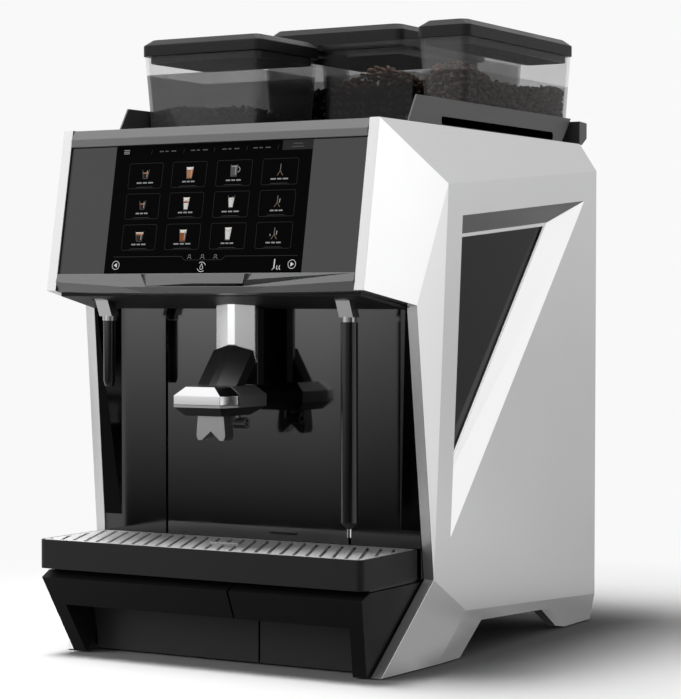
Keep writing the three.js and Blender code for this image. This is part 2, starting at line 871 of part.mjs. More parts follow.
// Shelf that carries the drip tray, hung between the uprights
function trayShelf() {
  const wing = between(kneeY, kneeZ);
  const z1 = shelfZ + shelfThick;
  const front = trayHalf - shelfSideInset;
  const tongue = box(-front, front, shelfFrontY, shelfRearY, shelfZ, z1);
  const wings = box(-wing, wing, kneeY + footInset, shelfRearY, shelfZ, z1);
  const hook = box(-bayBackHalf, bayBackHalf, shelfRearY - shelfThick, shelfRearY, shelfZ, z1 + shelfHook);
  piece('tray_shelf', tongue.add(wings).add(hook), steel);
}

// Rear cover, cut to the shells' inner faces, with rows of vents
function rearCover() {
  const heights = [floorRaisedZ + floorThick + gap, rearTopZ, topEdgeZ - deckDrop - deckThick - gap];
  const right = heights.map((z) => [between(rearCoverY, z), z]);
  const left = right.map(([x, z]) => [-x, z]).reverse();
  let cover = prismY([...right, ...left], rearCoverY, rearCoverY + rearCoverThick);
  for (let row = 0; row < ventRows; row += 1) {
    const z = ventLowZ + row * ventPitch;
    for (const side of [-1, 1]) {
      const x = (side * between(rearCoverY, z)) / 2;
      const slot = box(
        x - ventWidth / 2, x + ventWidth / 2,
        rearCoverY - over, rearCoverY + rearCoverThick + over,
        z, z + ventHeight,
      );
      cover = cover.subtract(slot);
    }
  }
  const socket = box(
    inletX - inletWidth / 2, inletX + inletWidth / 2,
    rearCoverY - over, rearCoverY + rearCoverThick + over,
    inletZ - inletHeight / 2, inletZ + inletHeight / 2,
  );
  const port = barY(waterInletRadius + gap, rearCoverY - over, rearCoverY + rearCoverThick + over,
    waterInletX, waterInletZ);
  piece('rear_cover', cover.subtract(socket).subtract(port), charcoal);
}

function powerInlet() {
  const w = inletWidth / 2 - gap;
  const h = inletHeight / 2 - gap;
  const face = rearCoverY + rearCoverThick + gap;
  const body = box(inletX - w, inletX + w, face - inletDepth, face + over, inletZ - h, inletZ + h);
  const flange = box(
    inletX - w - inletFlange, inletX + w + inletFlange,
    face, face + over,
    inletZ - h - inletFlange, inletZ + h + inletFlange,
  );
  const cup = box(
    inletX - w + inletWall, inletX + w - inletWall,
    face - inletDepth + inletWall, face + over + over,
    inletZ - h + inletWall, inletZ + h - inletWall,
  );
  let inlet = body.add(flange).subtract(cup);
  for (const step of [-1, 0, 1]) {
    const x = inletX + (step * w) / 2;
    inlet = inlet.add(box(
      x - inletPinWidth / 2, x + inletPinWidth / 2,
      face - inletDepth + inletWall - over, face - inletWall,
      inletZ - inletPinWidth, inletZ + inletPinWidth,
    ));
  }
  piece('power_inlet', inlet, black);
}

function waterInlet() {
  const face = rearCoverY + rearCoverThick + gap;
  const stub = barY(waterInletRadius, rearCoverY - waterNutLength, face + waterInletLength,
    waterInletX, waterInletZ);
  const nut = barY(waterNutRadius, face, face + waterNutLength, waterInletX, waterInletZ, 6);
  const bore = barY(waterInletBore, rearCoverY - waterNutLength + over,
    face + waterInletLength + over, waterInletX, waterInletZ);
  piece('water_inlet', stub.add(nut).subtract(bore), brass);
}

// Hoppers' throats: middle of each grinder
const throats = {
  left: [leftGrinderX, leftGrinderY],
  middle: [middleGrinderX, rearGrinderY],
  right: [rightGrinderX, rearGrinderY],
};
const deckTopZ = topEdgeZ - deckDrop;

function topDeck() {
  const front = between(deckFrontY, deckTopZ);
  const rear = between(topEdgeRearY, deckTopZ);
  const outline = [
    [-front, deckFrontY],
    [front, deckFrontY],
    [rear, topEdgeRearY],
    [rear, deckRearY],
    [-rear, deckRearY],
    [-rear, topEdgeRearY],
  ];
  let deck = prismZ(outline, deckTopZ - deckThick, deckTopZ);
  for (const [x, y] of Object.values(throats)) {
    deck = deck.subtract(barZ(spigotRadius + gap + gap, deckTopZ - deckThick - over, deckTopZ + over, x, y));
  }
  piece('top_deck', deck, charcoal);
}

// Collar plates beside the hoppers, each with a long hand slot
function collarPlate() {
  const outer = browHalf - shellRim - gap;
  const low = deckTopZ + gap;
  const plate = prismX(
    [
      [collarFrontLowY, low],
      [collarRearLowY, low],
      [collarRearTopY, collarTopZ],
      [collarFrontTopY, collarTopZ],
    ],
    outer - collarSheet,
    outer,
  );
  const ring = roundedRing(collarSlotFrontY, collarSlotRearY, collarSlotLowZ, collarSlotTopZ, collarSlotRadius, 0);
  const slot = prismX(ring.map(([y, z]) => [y, z]), outer - collarSheet - over, outer + over);
  return plate.subtract(slot);
}

function collar() {
  piece('collar_plate_right', collarPlate(), collarGrey);
  piece('collar_plate_left', mirrored(collarPlate()), collarGrey);
  const low = deckTopZ + gap;
  const outline = [
    [barFrontY, low],
    [deckRearY, low],
    [barRearY, barEdgeZ],
    [barRearY, barTopZ - barFall],
    [barFrontY, barTopZ],
  ];
  const groove = box(
    -barHalf + barGrooveSide, barHalf - barGrooveSide,
    barFrontY + barGrooveWall, barRearY - barGrooveWall,
    barEdgeZ + barGrooveWall, barTopZ + over,
  );
  piece('rear_ledge', prismX(outline, -barHalf, barHalf).subtract(groove), charcoal);
}

// Fascia: built upright in its own frame, then leaned back. Its Y points inward, Z up its slope.
const fasciaLean = Math.atan2(browTopY - browBottomY, topEdgeZ - browBottomZ);
const fasciaHeight = Math.hypot(browTopY - browBottomY, topEdgeZ - browBottomZ);
const fasciaHalf = browHalf - shellRim - gap;
const fascia = new THREE.Group();
fascia.position.set(0, browBottomY, browBottomZ);
fascia.rotation.x = -fasciaLean;
machine.add(fascia);

function topBar() {
  const low = fasciaHeight - topBarHeight;
  const outline = [
    [0, low],
    [barDepth, low],
    [barDepth, fasciaHeight - topBarLean],
    [topBarLean, fasciaHeight],
    [-topBarBulge, low + topBarHeight * topBarCreaseShare],
  ];
  piece('fascia_top_bar', prismX(outline, -fasciaHalf, fasciaHalf), barGrey, fascia);
}

// A facet that hollows the lower bar from the plate's corner to one end: everything before it.
// Its depth grows by one slope towards the end and shrinks by another up the face.
function barScoop(side) {
  const start = badgeCentreX + side * badgeLowHalf;
  const reach = side * fasciaHalf - start;
  const rise = bottomBarHeight * scoopRiseShare;
  const above = (bottomBarHeight - rise) / (bottomBarHeight * (1 - bottomBarCreaseShare));
  const across = scoopDepth / reach;
  const upward = -(scoopDepth + bottomBarBulge * above) / (rise + bottomBarDip);
  const before = scoopDepth + bottomBarBulge + over;
  const lean = new THREE.Matrix4().set(
    1, 0, 0, 0,
    across, 1, upward, 0,
    0, 0, 1, 0,
    0, 0, 0, 1,
  );
  const wide = Math.abs(reach) + over;
  const tall = bottomBarHeight + bottomBarDip + over;
  const slab = new THREE.BoxGeometry(wide, before, tall);
  slab.translate((side * wide) / 2, -before / 2, tall / 2);
  return solidFrom(slab.applyMatrix4(lean).translate(start, 0, -bottomBarDip));
}

// Lower bar: its lower edge drops in the middle, where the bare plate sits between two notches
function bottomBar() {
  const crease = bottomBarHeight * bottomBarCreaseShare;
  const outline = [
    [0, -bottomBarDip],
    [barDepth, -bottomBarDip],
    [barDepth, bottomBarHeight],
    [0, bottomBarHeight],
    [-bottomBarBulge, crease],
  ];
  const plan = [
    [-fasciaHalf, bottomBarHeight + over],
    [-fasciaHalf, 0],
    [badgeCentreX - badgeLowHalf, -bottomBarDip],
    [badgeCentreX + badgeLowHalf, -bottomBarDip],
    [fasciaHalf, 0],
    [fasciaHalf, bottomBarHeight + over],
  ];
  const bar = prismX(outline, -fasciaHalf, fasciaHalf)
    .intersect(prismY(plan, -bottomBarBulge - over, barDepth + over));
  const seat = prismY(badgePlan(badgeTopHalf, gap), -bottomBarBulge - over, 0);
  const notches = prismY(badgePlan(badgeNotchHalf, gap), -bottomBarBulge - over, badgeNotchDepth)
    .subtract(prismY(badgePlan(badgeTopHalf, gap), -bottomBarBulge - over - over, badgeNotchDepth + over));
  const carved = bar.subtract(seat).subtract(notches).subtract(barScoop(1)).subtract(barScoop(-1));
  piece('fascia_bottom_bar', carved, barGrey, fascia);
}

function badgePlan(topHalf, grow) {
  const top = bottomBarHeight - badgeLowerGap;
  return [
    [badgeCentreX - topHalf - grow, top + grow],
    [badgeCentreX - badgeLowHalf - grow, top - badgeHeight - grow],
    [badgeCentreX + badgeLowHalf + grow, top - badgeHeight - grow],
    [badgeCentreX + topHalf + grow, top + grow],
  ];
}

function badgePlate() {
  piece('badge_plate', prismY(badgePlan(badgeTopHalf, 0), -gap - badgeThick, -gap), barGrey, fascia);
}

function glassAndDisplay() {
  const low = bottomBarHeight + gap;
  const high = fasciaHeight - topBarHeight - gap;
  const glassBack = glassSetBack + glassThick;
  piece('fascia_glass', box(-fasciaHalf, fasciaHalf, glassSetBack, glassBack, low, high), glossBlack, fascia);
  const middle = (low + high) / 2;
  const w = displayWidth / 2;
  const h = displayHeight / 2;
  const front = glassBack + gap;
  const back = front + displayThick;
  const rib = displayThick / 2;
  const display = box(displayCentreX - w, displayCentreX + w, front, back, middle - h, middle + h);
  const backing = box(-fasciaHalf, fasciaHalf, back - over, back + carrierThick, bottomBarHeight - rib, high + rib);
  const ribTop = box(-fasciaHalf, fasciaHalf, front, back, high - rib, high);
  const ribLow = box(-fasciaHalf, fasciaHalf, front, back, low, low + rib);
  const trimTop = box(-fasciaHalf - over, fasciaHalf + over, 0, barDepth + gap, high + gap - over, high + rib + over);
  const trimLow = box(-fasciaHalf - over, fasciaHalf + over, 0, barDepth + gap, low - rib - over, low - gap + over);
  const housing = display.add(backing).add(ribTop).add(ribLow);
  piece('display_housing', housing.subtract(trimTop).subtract(trimLow), black, fascia);
}

// Underside of the head: parallel to the shells' lower edge, then level to the back of the bay
const soffitSlope = (throatZ - browBottomZ) / (throatY - browBottomY);

function soffitOutline(low, high) {
  const at = (y) => browBottomZ - soffitSet + (y - browBottomY) * soffitSlope;
  const lipLean = soffitLip * Math.tan(fasciaLean);
  const lipTop = at(soffitFrontY) + high + soffitLip;
  return [
    [soffitFrontY + lipLean, lipTop],
    [soffitFrontY, at(soffitFrontY) + low],
    [throatY, at(throatY) + low],
    [bayBackY - gap, soffitRearZ + low],
    [bayBackY - gap, soffitRearZ + high],
    [throatY, at(throatY) + high],
    [soffitFrontY + lipLean + soffitThick, at(soffitFrontY) + high],
    [soffitFrontY + lipLean + soffitThick, lipTop],
  ];
}

function soffit() {
  const plan = [
    [browHalf - shellRim - gap, browBottomY],
    [throat[0] - shellRim - gap, throatY],
    [throat[0] - shellRim - gap, bayBackY],
    [-throat[0] + shellRim + gap, bayBackY],
    [-throat[0] + shellRim + gap, throatY],
    [-browHalf + shellRim + gap, browBottomY],
  ];
  let plate = prismX(soffitOutline(0, soffitThick), -kneeHalf, kneeHalf)
    .intersect(prismZ(plan, soffitRearZ - shellRim, topEdgeZ));
  const slot = prismZ(columnOutline(spoutHole), soffitRearZ - over, topEdgeZ);
  plate = plate.subtract(slot);
  const under = prismX(soffitOutline(-topEdgeZ, 0), -kneeHalf, kneeHalf);
  for (const x of [-wandX, wandX]) {
    const near = wandArmWidth / 2 + gap;
    const lugs = box(
      x - near - wandLug, x + near + wandLug,
      wandPivotY - wandBarrelRadius, wandPivotY + wandBarrelRadius,
      soffitRearZ, wandPivotZ + wandBarrelRadius,
    );
    plate = plate.add(lugs.subtract(under)).subtract(box(
      x - near, x + near,
      wandPivotY - wandHoleFront, wandPivotY + wandHoleRear,
      soffitRearZ - over, topEdgeZ,
    ));
    const far = near + wandLug + over;
    plate = plate.subtract(barX(wandPinRadius + wandPinFit, x - far, x + far, wandPivotY, wandPivotZ));
  }
  piece('head_soffit', plate, black);
}

// Back of the cup bay: a middle panel between two corner pieces, with a groove at each side
function bayBack() {
  const low = shelfZ + shelfThick + gap;
  const high = soffitRearZ + soffitThick;
  const back = bayBackY + bayPanelThick;
  piece('bay_back_panel', box(-bayCentreHalf, bayCentreHalf, bayBackY, back, low, high), glossBlack);
  const corner = bayCorner(low, high, back);
  piece('bay_corner_right', corner, glossBlack);
  piece('bay_corner_left', mirrored(corner), glossBlack);
}

function bayCorner(low, high, back) {
  const inner = bayCentreHalf + bayGroove;
  const strip = box(inner, bayBackHalf + over, bayBackY, back, low, high);
  const section = (z) => {
    const share = (z - kneeZ) / (throatZ - kneeZ);
    const y = Math.min(kneeY + (throatY - kneeY) * share + gap, bayBackY);
    const x = kneeHalf + (throat[0] - kneeHalf) * share - shellRim - gap;
    return [
      [bayBackHalf, bayBackY, z],
      [x - over, y, z],
      [x, y, z],
      [x, back, z],
      [bayBackHalf, back, z],
    ];
  };
  const flush = kneeZ + ((throatZ - kneeZ) * (kneeY + gap - bayBackY)) / (kneeY - throatY);
  const wedge = loft([section(flush + over), section(soffitRearZ - gap)]);
  const skirt = loft([section(low), section(flush + over)]);
  return strip.add(wedge).add(skirt);
}

// Spout column outline, seen from above, grown by a clearance
function columnOutline(grow) {
  return [
    [-columnNoseHalf, columnNoseY - grow],
    [columnNoseHalf, columnNoseY - grow],
    [columnHalf + grow, columnWingY - grow],
    [columnHalf + grow, columnRearY + grow],
    [-columnHalf - grow, columnRearY + grow],
    [-columnHalf - grow, columnWingY - grow],
  ];
}

// Everything above the slanted joint between column and neck, or below it
function aboveChevron(shift) {
  const nose = chevronNoseZ + shift;
  const wing = chevronWingZ + shift;
  const slope = (wing - nose) / (columnWingY - columnNoseY);
  const frontY = headFrontY - over;
  const rearEdge = columnRearY + spoutHole;
  const outline = [
    [frontY, nose + (frontY - columnNoseY) * slope],
    [rearEdge, nose + (rearEdge - columnNoseY) * slope],
    [rearEdge, guideTopZ],
    [frontY, guideTopZ],
  ];
  return prismX(outline, -columnHalf - over, columnHalf + over);
}

function spoutColumn() {
  const skinBack = columnNoseY + columnSkin;
  const inner = [
    [-columnNoseHalf + columnSkin / 2, skinBack],
    [columnNoseHalf - columnSkin / 2, skinBack],
    [columnHalf - columnSkin, columnWingY + columnSkin / 2],
    [columnHalf - columnSkin, columnRearY + over],
    [-columnHalf + columnSkin, columnRearY + over],
    [-columnHalf + columnSkin, columnWingY + columnSkin / 2],
  ];
  const whole = prismZ(columnOutline(0), headTopZ, columnTopZ).intersect(aboveChevron(0));
  const rim = columnWingY + columnSkin + columnSkin;
  const trim = box(-columnHalf - over, columnHalf + over, rim, columnRearY + over, headTopZ, columnTopZ + over);
  const skin = whole.subtract(prismZ(inner, headLowZ, columnTopZ + over)).subtract(trim);
  piece('spout_cover', skin, silver);
}

// Dark carriage behind the cover. It runs down into the neck, which slants forward to the head.
function spoutCarriage() {
  const fit = inset(columnOutline(0), columnSkin + gap);
  const rim = columnWingY + columnSkin + columnSkin + gap;
  const core = prismZ(fit, headTopZ + gap, columnTopZ).intersect(aboveChevron(-over));
  const back = box(-columnHalf, columnHalf, rim, columnRearY, headTopZ + gap, columnTopZ);
  const forward = (neckDrop - gap) * neckForwardShare;
  const ring = (z, shift) => columnOutline(0).map(([x, y]) => [x, y - shift, z]);
  const cut = -gap;
  const neck = loft([ring(headTopZ + gap, forward), ring(chevronNoseZ, 0)])
    .subtract(aboveChevron(cut));
  piece('spout_carriage', core.add(back).add(neck), charcoal);
}

// Plan outlines of the head: front chamfers and straight sides
function headPlan(frontHalf, frontY, half, sideY, rear) {
  return [
    [-frontHalf, frontY],
    [frontHalf, frontY],
    [half, sideY],
    [half, rear],
    [-half, rear],
    [-half, sideY],
  ];
}

const at = (plan, z) => plan.map(([x, y]) => [x, y, z]);

function spoutHead() {
  const wide = headPlan(headFrontHalf, headFrontY, headHalf, headSideY, headRearY);
  const topPlan = headPlan(
    headTopFrontHalf, headTopFrontY,
    headTopHalf, headSideY + (headHalf - headTopHalf) / 2,
    headRearY - (headHalf - headTopHalf) / 2,
  );
  const lowPlan = headPlan(
    headFrontHalf - headLowInset / 2, headFrontY + headLowInset,
    headHalf - headLowInset, headSideY + headLowInset / 2,
    headRearY - headLowInset,
  );
  const body = loft([at(lowPlan, headLowZ), at(wide, gasketLowZ), at(wide, headBevelZ), at(topPlan, headTopZ)]);
  const shell = loft([at(wide, ringLowZ), at(wide, headBevelZ), at(topPlan, headTopZ)]);
  const core = loft([
    at(inset(wide, trimSkin), ringLowZ - over),
    at(inset(wide, trimSkin), headBevelZ - trimSkin / 2),
    at(inset(topPlan, trimSkin), headTopZ - trimSkin / 2),
  ]);
  const front = box(-headHalf - over, headHalf + over, headFrontY - over, trimRearY, ringLowZ - gap, headTopZ + over);
  const lift = box(-headHalf - over, headHalf + over, headFrontY - over, trimRearY, ringLowZ, headTopZ + over);
  piece('spout_trim', shell.subtract(core).intersect(lift), chrome);
  const slim = loft([
    at(inset(wide, trimSkin + gap), ringLowZ - over),
    at(inset(wide, trimSkin + gap), headBevelZ - trimSkin / 2 - gap),
    at(inset(topPlan, trimSkin + gap), headTopZ - trimSkin / 2 - gap),
  ]);
  const rest = box(-headHalf - over, headHalf + over, trimRearY + gap, headRearY + over, headLowZ - over, headTopZ + over);
  const belly = box(-headHalf - over, headHalf + over, headFrontY - over, headRearY, headLowZ - over, ringLowZ - gap);
  const moulding = body.intersect(rest).add(body.intersect(belly)).add(slim.intersect(front));
  piece('spout_head', moulding.add(milkOutlet()), black);
}

function spoutNozzle() {
  const top = headLowZ - gap;
  const low = nozzleLowZ;
  const outline = [
    [-nozzleHalf + nozzleTaper, top],
    [-nozzleHalf, low + nozzleTipWidth],
    [-nozzleHalf + nozzleTaper, low],
    [-nozzleHalf + nozzleTaper + nozzleTipWidth, low],
    [0, nozzleNotchZ],
    [nozzleHalf - nozzleTaper - nozzleTipWidth, low],
    [nozzleHalf - nozzleTaper, low],
    [nozzleHalf, low + nozzleTipWidth],
    [nozzleHalf - nozzleTaper, top],
  ];
  let body = prismY(outline, nozzleFrontY, nozzleFrontY + nozzleDepth);
  for (const side of [-1, 1]) {
    const x = side * nozzleNotchHalf;
    body = body.subtract(barZ(nozzleBore, low - over, nozzleNotchZ + nozzleTipWidth, x,
      nozzleFrontY + nozzleDepth / 2, 16));
  }
  piece('spout_nozzle', body, nozzleGrey);
}

// The round outlet under the head, turned to the side
function milkOutlet() {
  const z = milkPipeZ;
  const stem = barZ(milkPipeRadius, z, headLowZ + over, milkPipeX, milkPipeY, 20);
  const arm = barX(milkPipeRadius, milkPipeX, milkPipeX + milkPipeLength, milkPipeY, z, 20);
  const bore = barX(milkPipeBore, milkPipeX, milkPipeX + milkPipeLength + over, milkPipeY, z, 16);
  return stem.add(arm).subtract(bore);
}

// Fixed channel in the head in which the spout column slides
function spoutGuide() {
  const outer = prismZ(columnOutline(gap + guideWall), soffitRearZ, guideTopZ);
  const inner = prismZ(columnOutline(gap), soffitRearZ - over, guideTopZ + over);
  const under = prismX(soffitOutline(-over, soffitThick + gap), -kneeHalf, kneeHalf);
  const ceiling = prismX(soffitOutline(-topEdgeZ, 0), -kneeHalf, kneeHalf);
  piece('spout_guide', outer.subtract(inner).subtract(under).subtract(ceiling), steel);
}

function spout() {
  spoutColumn();
  spoutCarriage();
  spoutHead();
  spoutNozzle();
  spoutGuide();
}

// A wand's chrome arm: a round barrel in the head, a slanted block and a collar
function wandArm(x) {
  const w = wandArmWidth / 2;
  const d = wandArmDepth / 2;
  const barrel = barX(wandBarrelRadius, x - w, x + w, wandPivotY, wandPivotZ);
  const outline = [
    [wandPivotY - d, wandPivotZ],
    [wandY - d, wandArmLowZ],
    [wandY + d, wandArmLowZ],
    [wandPivotY + d, wandPivotZ],
  ];
  const block = prismX(outline, x - w, x + w);
  const collarRing = barZ(wandCollarRadius, wandCollarZ, wandArmLowZ + over, x, wandY);
  const reach = w + gap + wandLug;
  const pin = barX(wandPinRadius, x - reach, x + reach, wandPivotY, wandPivotZ);
  return barrel.add(block).add(collarRing).add(pin);
}

function wands() {
  piece('steam_arm', wandArm(wandX), chrome);
  const top = wandCollarZ - gap;
  const sleeve = [
    [0, top],
    [steamTubeRadius, top],
    [steamTubeRadius, steamTubeLowZ],
    [steamTipRadius + gap, steamConeZ],
    [0, steamConeZ],
  ].reverse();
  piece('steam_tube', turned(sleeve, wandX, wandY), black);
  const tip = [
    [0, steamTipLowZ + wandBore],
    [wandBore, steamTipLowZ],
    [steamTipRadius, steamTipLowZ],
    [steamTipRadius, steamConeZ - gap],
    [0, steamConeZ - gap],
  ];
  piece('steam_tip', turned(tip, wandX, wandY, 20), chrome);
  piece('water_arm', wandArm(-wandX), chrome);
  const pipe = [
    [0, waterTipLowZ + wandBore],
    [wandBore, waterTipLowZ],
    [waterTipRadius, waterTipLowZ],
    [waterTubeRadius, waterTubeLowZ],
    [waterTubeRadius, top],
    [0, top],
  ];
  piece('water_tube', turned(pipe, -wandX, wandY), black);
}

// Drip tray: an open pan with round corners and a ledge for the grid
function dripTray() {
  const ring = (shrink, z) => roundedRing(
    -trayHalf + shrink, trayHalf - shrink,
    trayFrontY + shrink, trayRearY - shrink,
    trayCorner - shrink * gap, z,
  );
  const seat = trayTopZ - gridThick - gap;
  const pan = loft([ring(0, trayLowZ), ring(0, trayTopZ)]);
  const rim = trayWall + trayLedge;
  const well = box(
    -trayHalf + rim, trayHalf - rim,
    trayFrontY + rim, trayRearY - rim,
    trayLowZ + trayWall, trayTopZ + over,
  );
  const recess = loft([ring(trayWall, seat), ring(trayWall, trayTopZ + over)]);
  piece('drip_tray', pan.subtract(well).subtract(recess), charcoal);
}

// Drip grid: a thin plate with slanted slots and a lifting bar in the middle
function dripGrid() {
  const shrink = trayWall + gap;
  const low = trayTopZ - gridThick;
  const x1 = trayHalf - shrink;
  const y0 = trayFrontY + shrink;
  const y1 = trayRearY - shrink;
  const ring = (z) => roundedRing(-x1, x1, y0, y1, trayCorner - shrink * gap, z);
  const plate = loft([ring(low), ring(trayTopZ)]);
  const keep = box(
    gridHandleX - gridHandleWidth / 2 - gridHandleFrame, gridHandleX + gridHandleWidth / 2 + gridHandleFrame,
    gridHandleY - gridHandleLength / 2 - gridHandleFrame, gridHandleY + gridHandleLength / 2 + gridHandleFrame,
    low - over - over, trayTopZ + over + over,
  );
  const reach = x1 + gridSlotSkew;
  const copies = Math.floor(reach / gridSlotPitch);
  const rim = box(-x1 + gridRim, x1 - gridRim, y0 + gridRim, y1 - gridRim, low - over, trayTopZ + over);
  const half = gridSlotWidth / 2;
  let slots = null;
  for (let i = -copies; i <= copies; i += 1) {
    const x = i * gridSlotPitch;
    const slot = prismZ(
      [
        [x + gridSlotSkew / 2 - half, y0],
        [x + gridSlotSkew / 2 + half, y0],
        [x - gridSlotSkew / 2 + half, y1],
        [x - gridSlotSkew / 2 - half, y1],
      ],
      low - over,
      trayTopZ + over,
    );
    slots = slots ? slots.add(slot) : slot;
  }
  const handleHole = box(
    gridHandleX - gridHandleWidth / 2, gridHandleX + gridHandleWidth / 2,
    gridHandleY - gridHandleLength / 2, gridHandleY + gridHandleLength / 2,
    low - over, trayTopZ + over,
  );
  const bar = box(
    gridHandleX - gridHandleWidth / 2 - gap, gridHandleX + gridHandleWidth / 2 + gap,
    gridHandleY - gridHandleBar / 2, gridHandleY + gridHandleBar / 2,
    trayTopZ - gridHandleBar / 2, trayTopZ + gridHandleRise,
  );
  const openings = slots.intersect(rim).subtract(keep).add(handleHole);
  piece('drip_grid', plate.subtract(openings).add(bar), steel);
}

// Drawer fronts: a bevelled band, a leg at the outer side and a set-back panel down to the floor
function drawerFront(side) {
  const seam = drawerSeamX + (side * drawerSeam) / 2;
  const outline = [
    [drawerFootY, 0],
    [toeLineY(0) - gap, 0],
    [toeLineY(drawerTopZ) - gap, drawerTopZ],
    [drawerBevelY, drawerTopZ],
    [drawerFrontTopY, drawerFrontTopZ],
  ];
  const flare = (drawerTopHalf - drawerFootHalf) / drawerFrontTopZ;
  const halfAt = (z) => drawerFootHalf + flare * z;
  const plan = (shrink, z0, z1) => {
    const outer = [[side * (halfAt(z0) - shrink), z0], [side * (halfAt(z1) - shrink), z1]];
    return [[seam, z0], outer[0], outer[1], [seam, z1]];
  };
  const reach = toeLineY(drawerTopZ) + over;
  const body = prismX(outline, -trayHalf, trayHalf)
    .intersect(prismY(plan(0, -over, drawerTopZ + over), trayFrontY, reach));
  const mouth = prismY(
    [
      [seam - side * over, -over],
      [side * (halfAt(-over) - drawerLegWidth), -over],
      [side * (halfAt(drawerBandZ) - drawerLegWidth), drawerBandZ],
      [seam - side * over, drawerBandZ],
    ],
    trayFrontY - over,
    drawerPanelY,
  );
  const wallX = seam + side * drawerWall;
  const cavityTop = drawerTopZ - drawerWall;
  const rearHollow = prismY(
    [
      [wallX, -over],
      [side * (halfAt(-over) - drawerLegWidth / 2), -over],
      [side * (halfAt(cavityTop) - drawerLegWidth / 2), cavityTop],
      [wallX, cavityTop],
    ],
    drawerPanelY + drawerWall,
    reach + over,
  );
  const lean = (drawerFootY - drawerFrontTopY) / drawerFrontTopZ;
  const faceY = (z) => drawerFootY - lean * z;
  const bandLow = drawerBandZ + drawerWall;
  const bandHollow = prismX(
    [
      [faceY(bandLow) + drawerWall, bandLow],
      [drawerPanelY + drawerWall + over, bandLow],
      [drawerPanelY + drawerWall + over, cavityTop],
      [drawerBevelY + drawerWall / 2, cavityTop],
      [drawerFrontTopY + drawerWall + drawerWall / 2, drawerFrontTopZ - drawerWall / 2],
    ],
    Math.min(wallX, side * (halfAt(bandLow) - drawerLegWidth / 2)),
    Math.max(wallX, side * (halfAt(bandLow) - drawerLegWidth / 2)),
  );
  const trimFoot = box(-trayHalf, trayHalf, drawerPanelY, reach, -over, drawerPanelLowZ);
  const apronHalf = (z) => Math.min(halfAt(z) - drawerLegWidth + over, footInner - gap);
  const apron = prismY(
    [
      [seam, drawerPanelLowZ],
      [side * apronHalf(drawerPanelLowZ), drawerPanelLowZ],
      [side * apronHalf(drawerBandZ), drawerBandZ + over],
      [seam, drawerBandZ + over],
    ],
    drawerPanelY,
    drawerPanelY + drawerWall,
  );
  const shellOfDrawer = body.subtract(mouth).subtract(rearHollow).subtract(bandHollow);
  return shellOfDrawer.subtract(trimFoot).add(apron);
}

// Bins behind the fronts: open boxes with drafted walls
function bin(side) {
  const seam = drawerSeamX + side * (drawerSeam / 2 + binSideGap);
  const outerX = side * (footInner - binFootGap);
  const x0 = Math.min(seam, outerX);
  const x1 = Math.max(seam, outerX);
  const y0 = drawerPanelY + drawerWall + gap;
  const low = floorLowZ + floorThick + gap;
  const ring = (shrink, z) => roundedRing(
    x0 + shrink, x1 - shrink, y0 + (shrink > binWall ? shrink - binDraft : shrink), y0 + binDepth - shrink,
    trayCorner, z, 3,
  );
  const outer = loft([ring(0, low), ring(0, binTopZ)]);
  const inner = loft([ring(binWall + binDraft, low + binWall), ring(binWall, binTopZ + over)]);
  return outer.subtract(inner);
}

function drawers() {
  piece('grounds_drawer_front', drawerFront(-1), charcoal);
  piece('waste_drawer_front', drawerFront(1), charcoal);
  piece('grounds_bin', bin(-1), black);
  piece('waste_bin', bin(1), black);
}

// A hopper: tapered walls, a floor, a spigot down through the deck
function hopper(x0, x1, y0, y1, topZ, [tx, ty]) {
  const low = deckTopZ + gap;
  const ring = (shrink, z) => roundedRing(x0 + shrink, x1 - shrink, y0 + shrink, y1 - shrink, hopperCorner, z);
  const outer = loft([ring(hopperTaper, low), ring(0, topZ)]);
  const inner = loft([ring(hopperTaper + hopperWall, low + hopperFloor), ring(hopperWall, topZ + over)]);
  const spigot = barZ(spigotRadius, deckTopZ - spigotDrop, low + over, tx, ty);
  const bore = barZ(spigotBore, deckTopZ - spigotDrop - over, low + hopperFloor + over, tx, ty);
  return outer.subtract(inner).add(spigot).subtract(bore);
}

// A lid: chamfered top, a hollow skirt and a plug that drops inside the walls
function lid(x0, x1, y0, y1, z, height) {
  const ring = (shrink, level) => roundedRing(
    x0 + shrink, x1 - shrink, y0 + shrink, y1 - shrink, hopperCorner, level,
  );
  const low = z + gap;
  const top = low + height - gap;
  const chamfer = lidChamfer;
  const skirt = loft([ring(-lidOverhang, low), ring(-lidOverhang, top - chamfer), ring(chamfer, top)]);
  const hollow = loft([
    ring(hopperWall + hopperWall + lidWall, low - lidPlug - over),
    ring(hopperWall + hopperWall + lidWall, top - chamfer),
  ]);
  const plug = loft([ring(hopperWall + hopperWall, low - lidPlug), ring(hopperWall + hopperWall, low + over)]);
  return skirt.add(plug).subtract(hollow);
}

// A heap of beans: follows the walls below and rises to a rounded crown
function heap(x0, x1, y0, y1, topZ, beanZ) {
  const low = deckTopZ + gap + hopperFloor + beanClearance;
  const lean = hopperTaper / (topZ - deckTopZ - gap);
  const inside = (z) => hopperWall + beanClearance + lean * (topZ - z);
  const ring = (extra, z) => roundedRing(
    x0 + inside(z) + extra, x1 - inside(z) - extra,
    y0 + inside(z) + extra, y1 - inside(z) - extra,
    hopperCorner, z,
  );
  return loft([
    ring(hopperWall, low),
    ring(0, beanZ - beanCrown),
    ring(beanCrown, beanZ - beanCrown / 2),
    ring(beanCrown * 2, beanZ),
  ]);
}

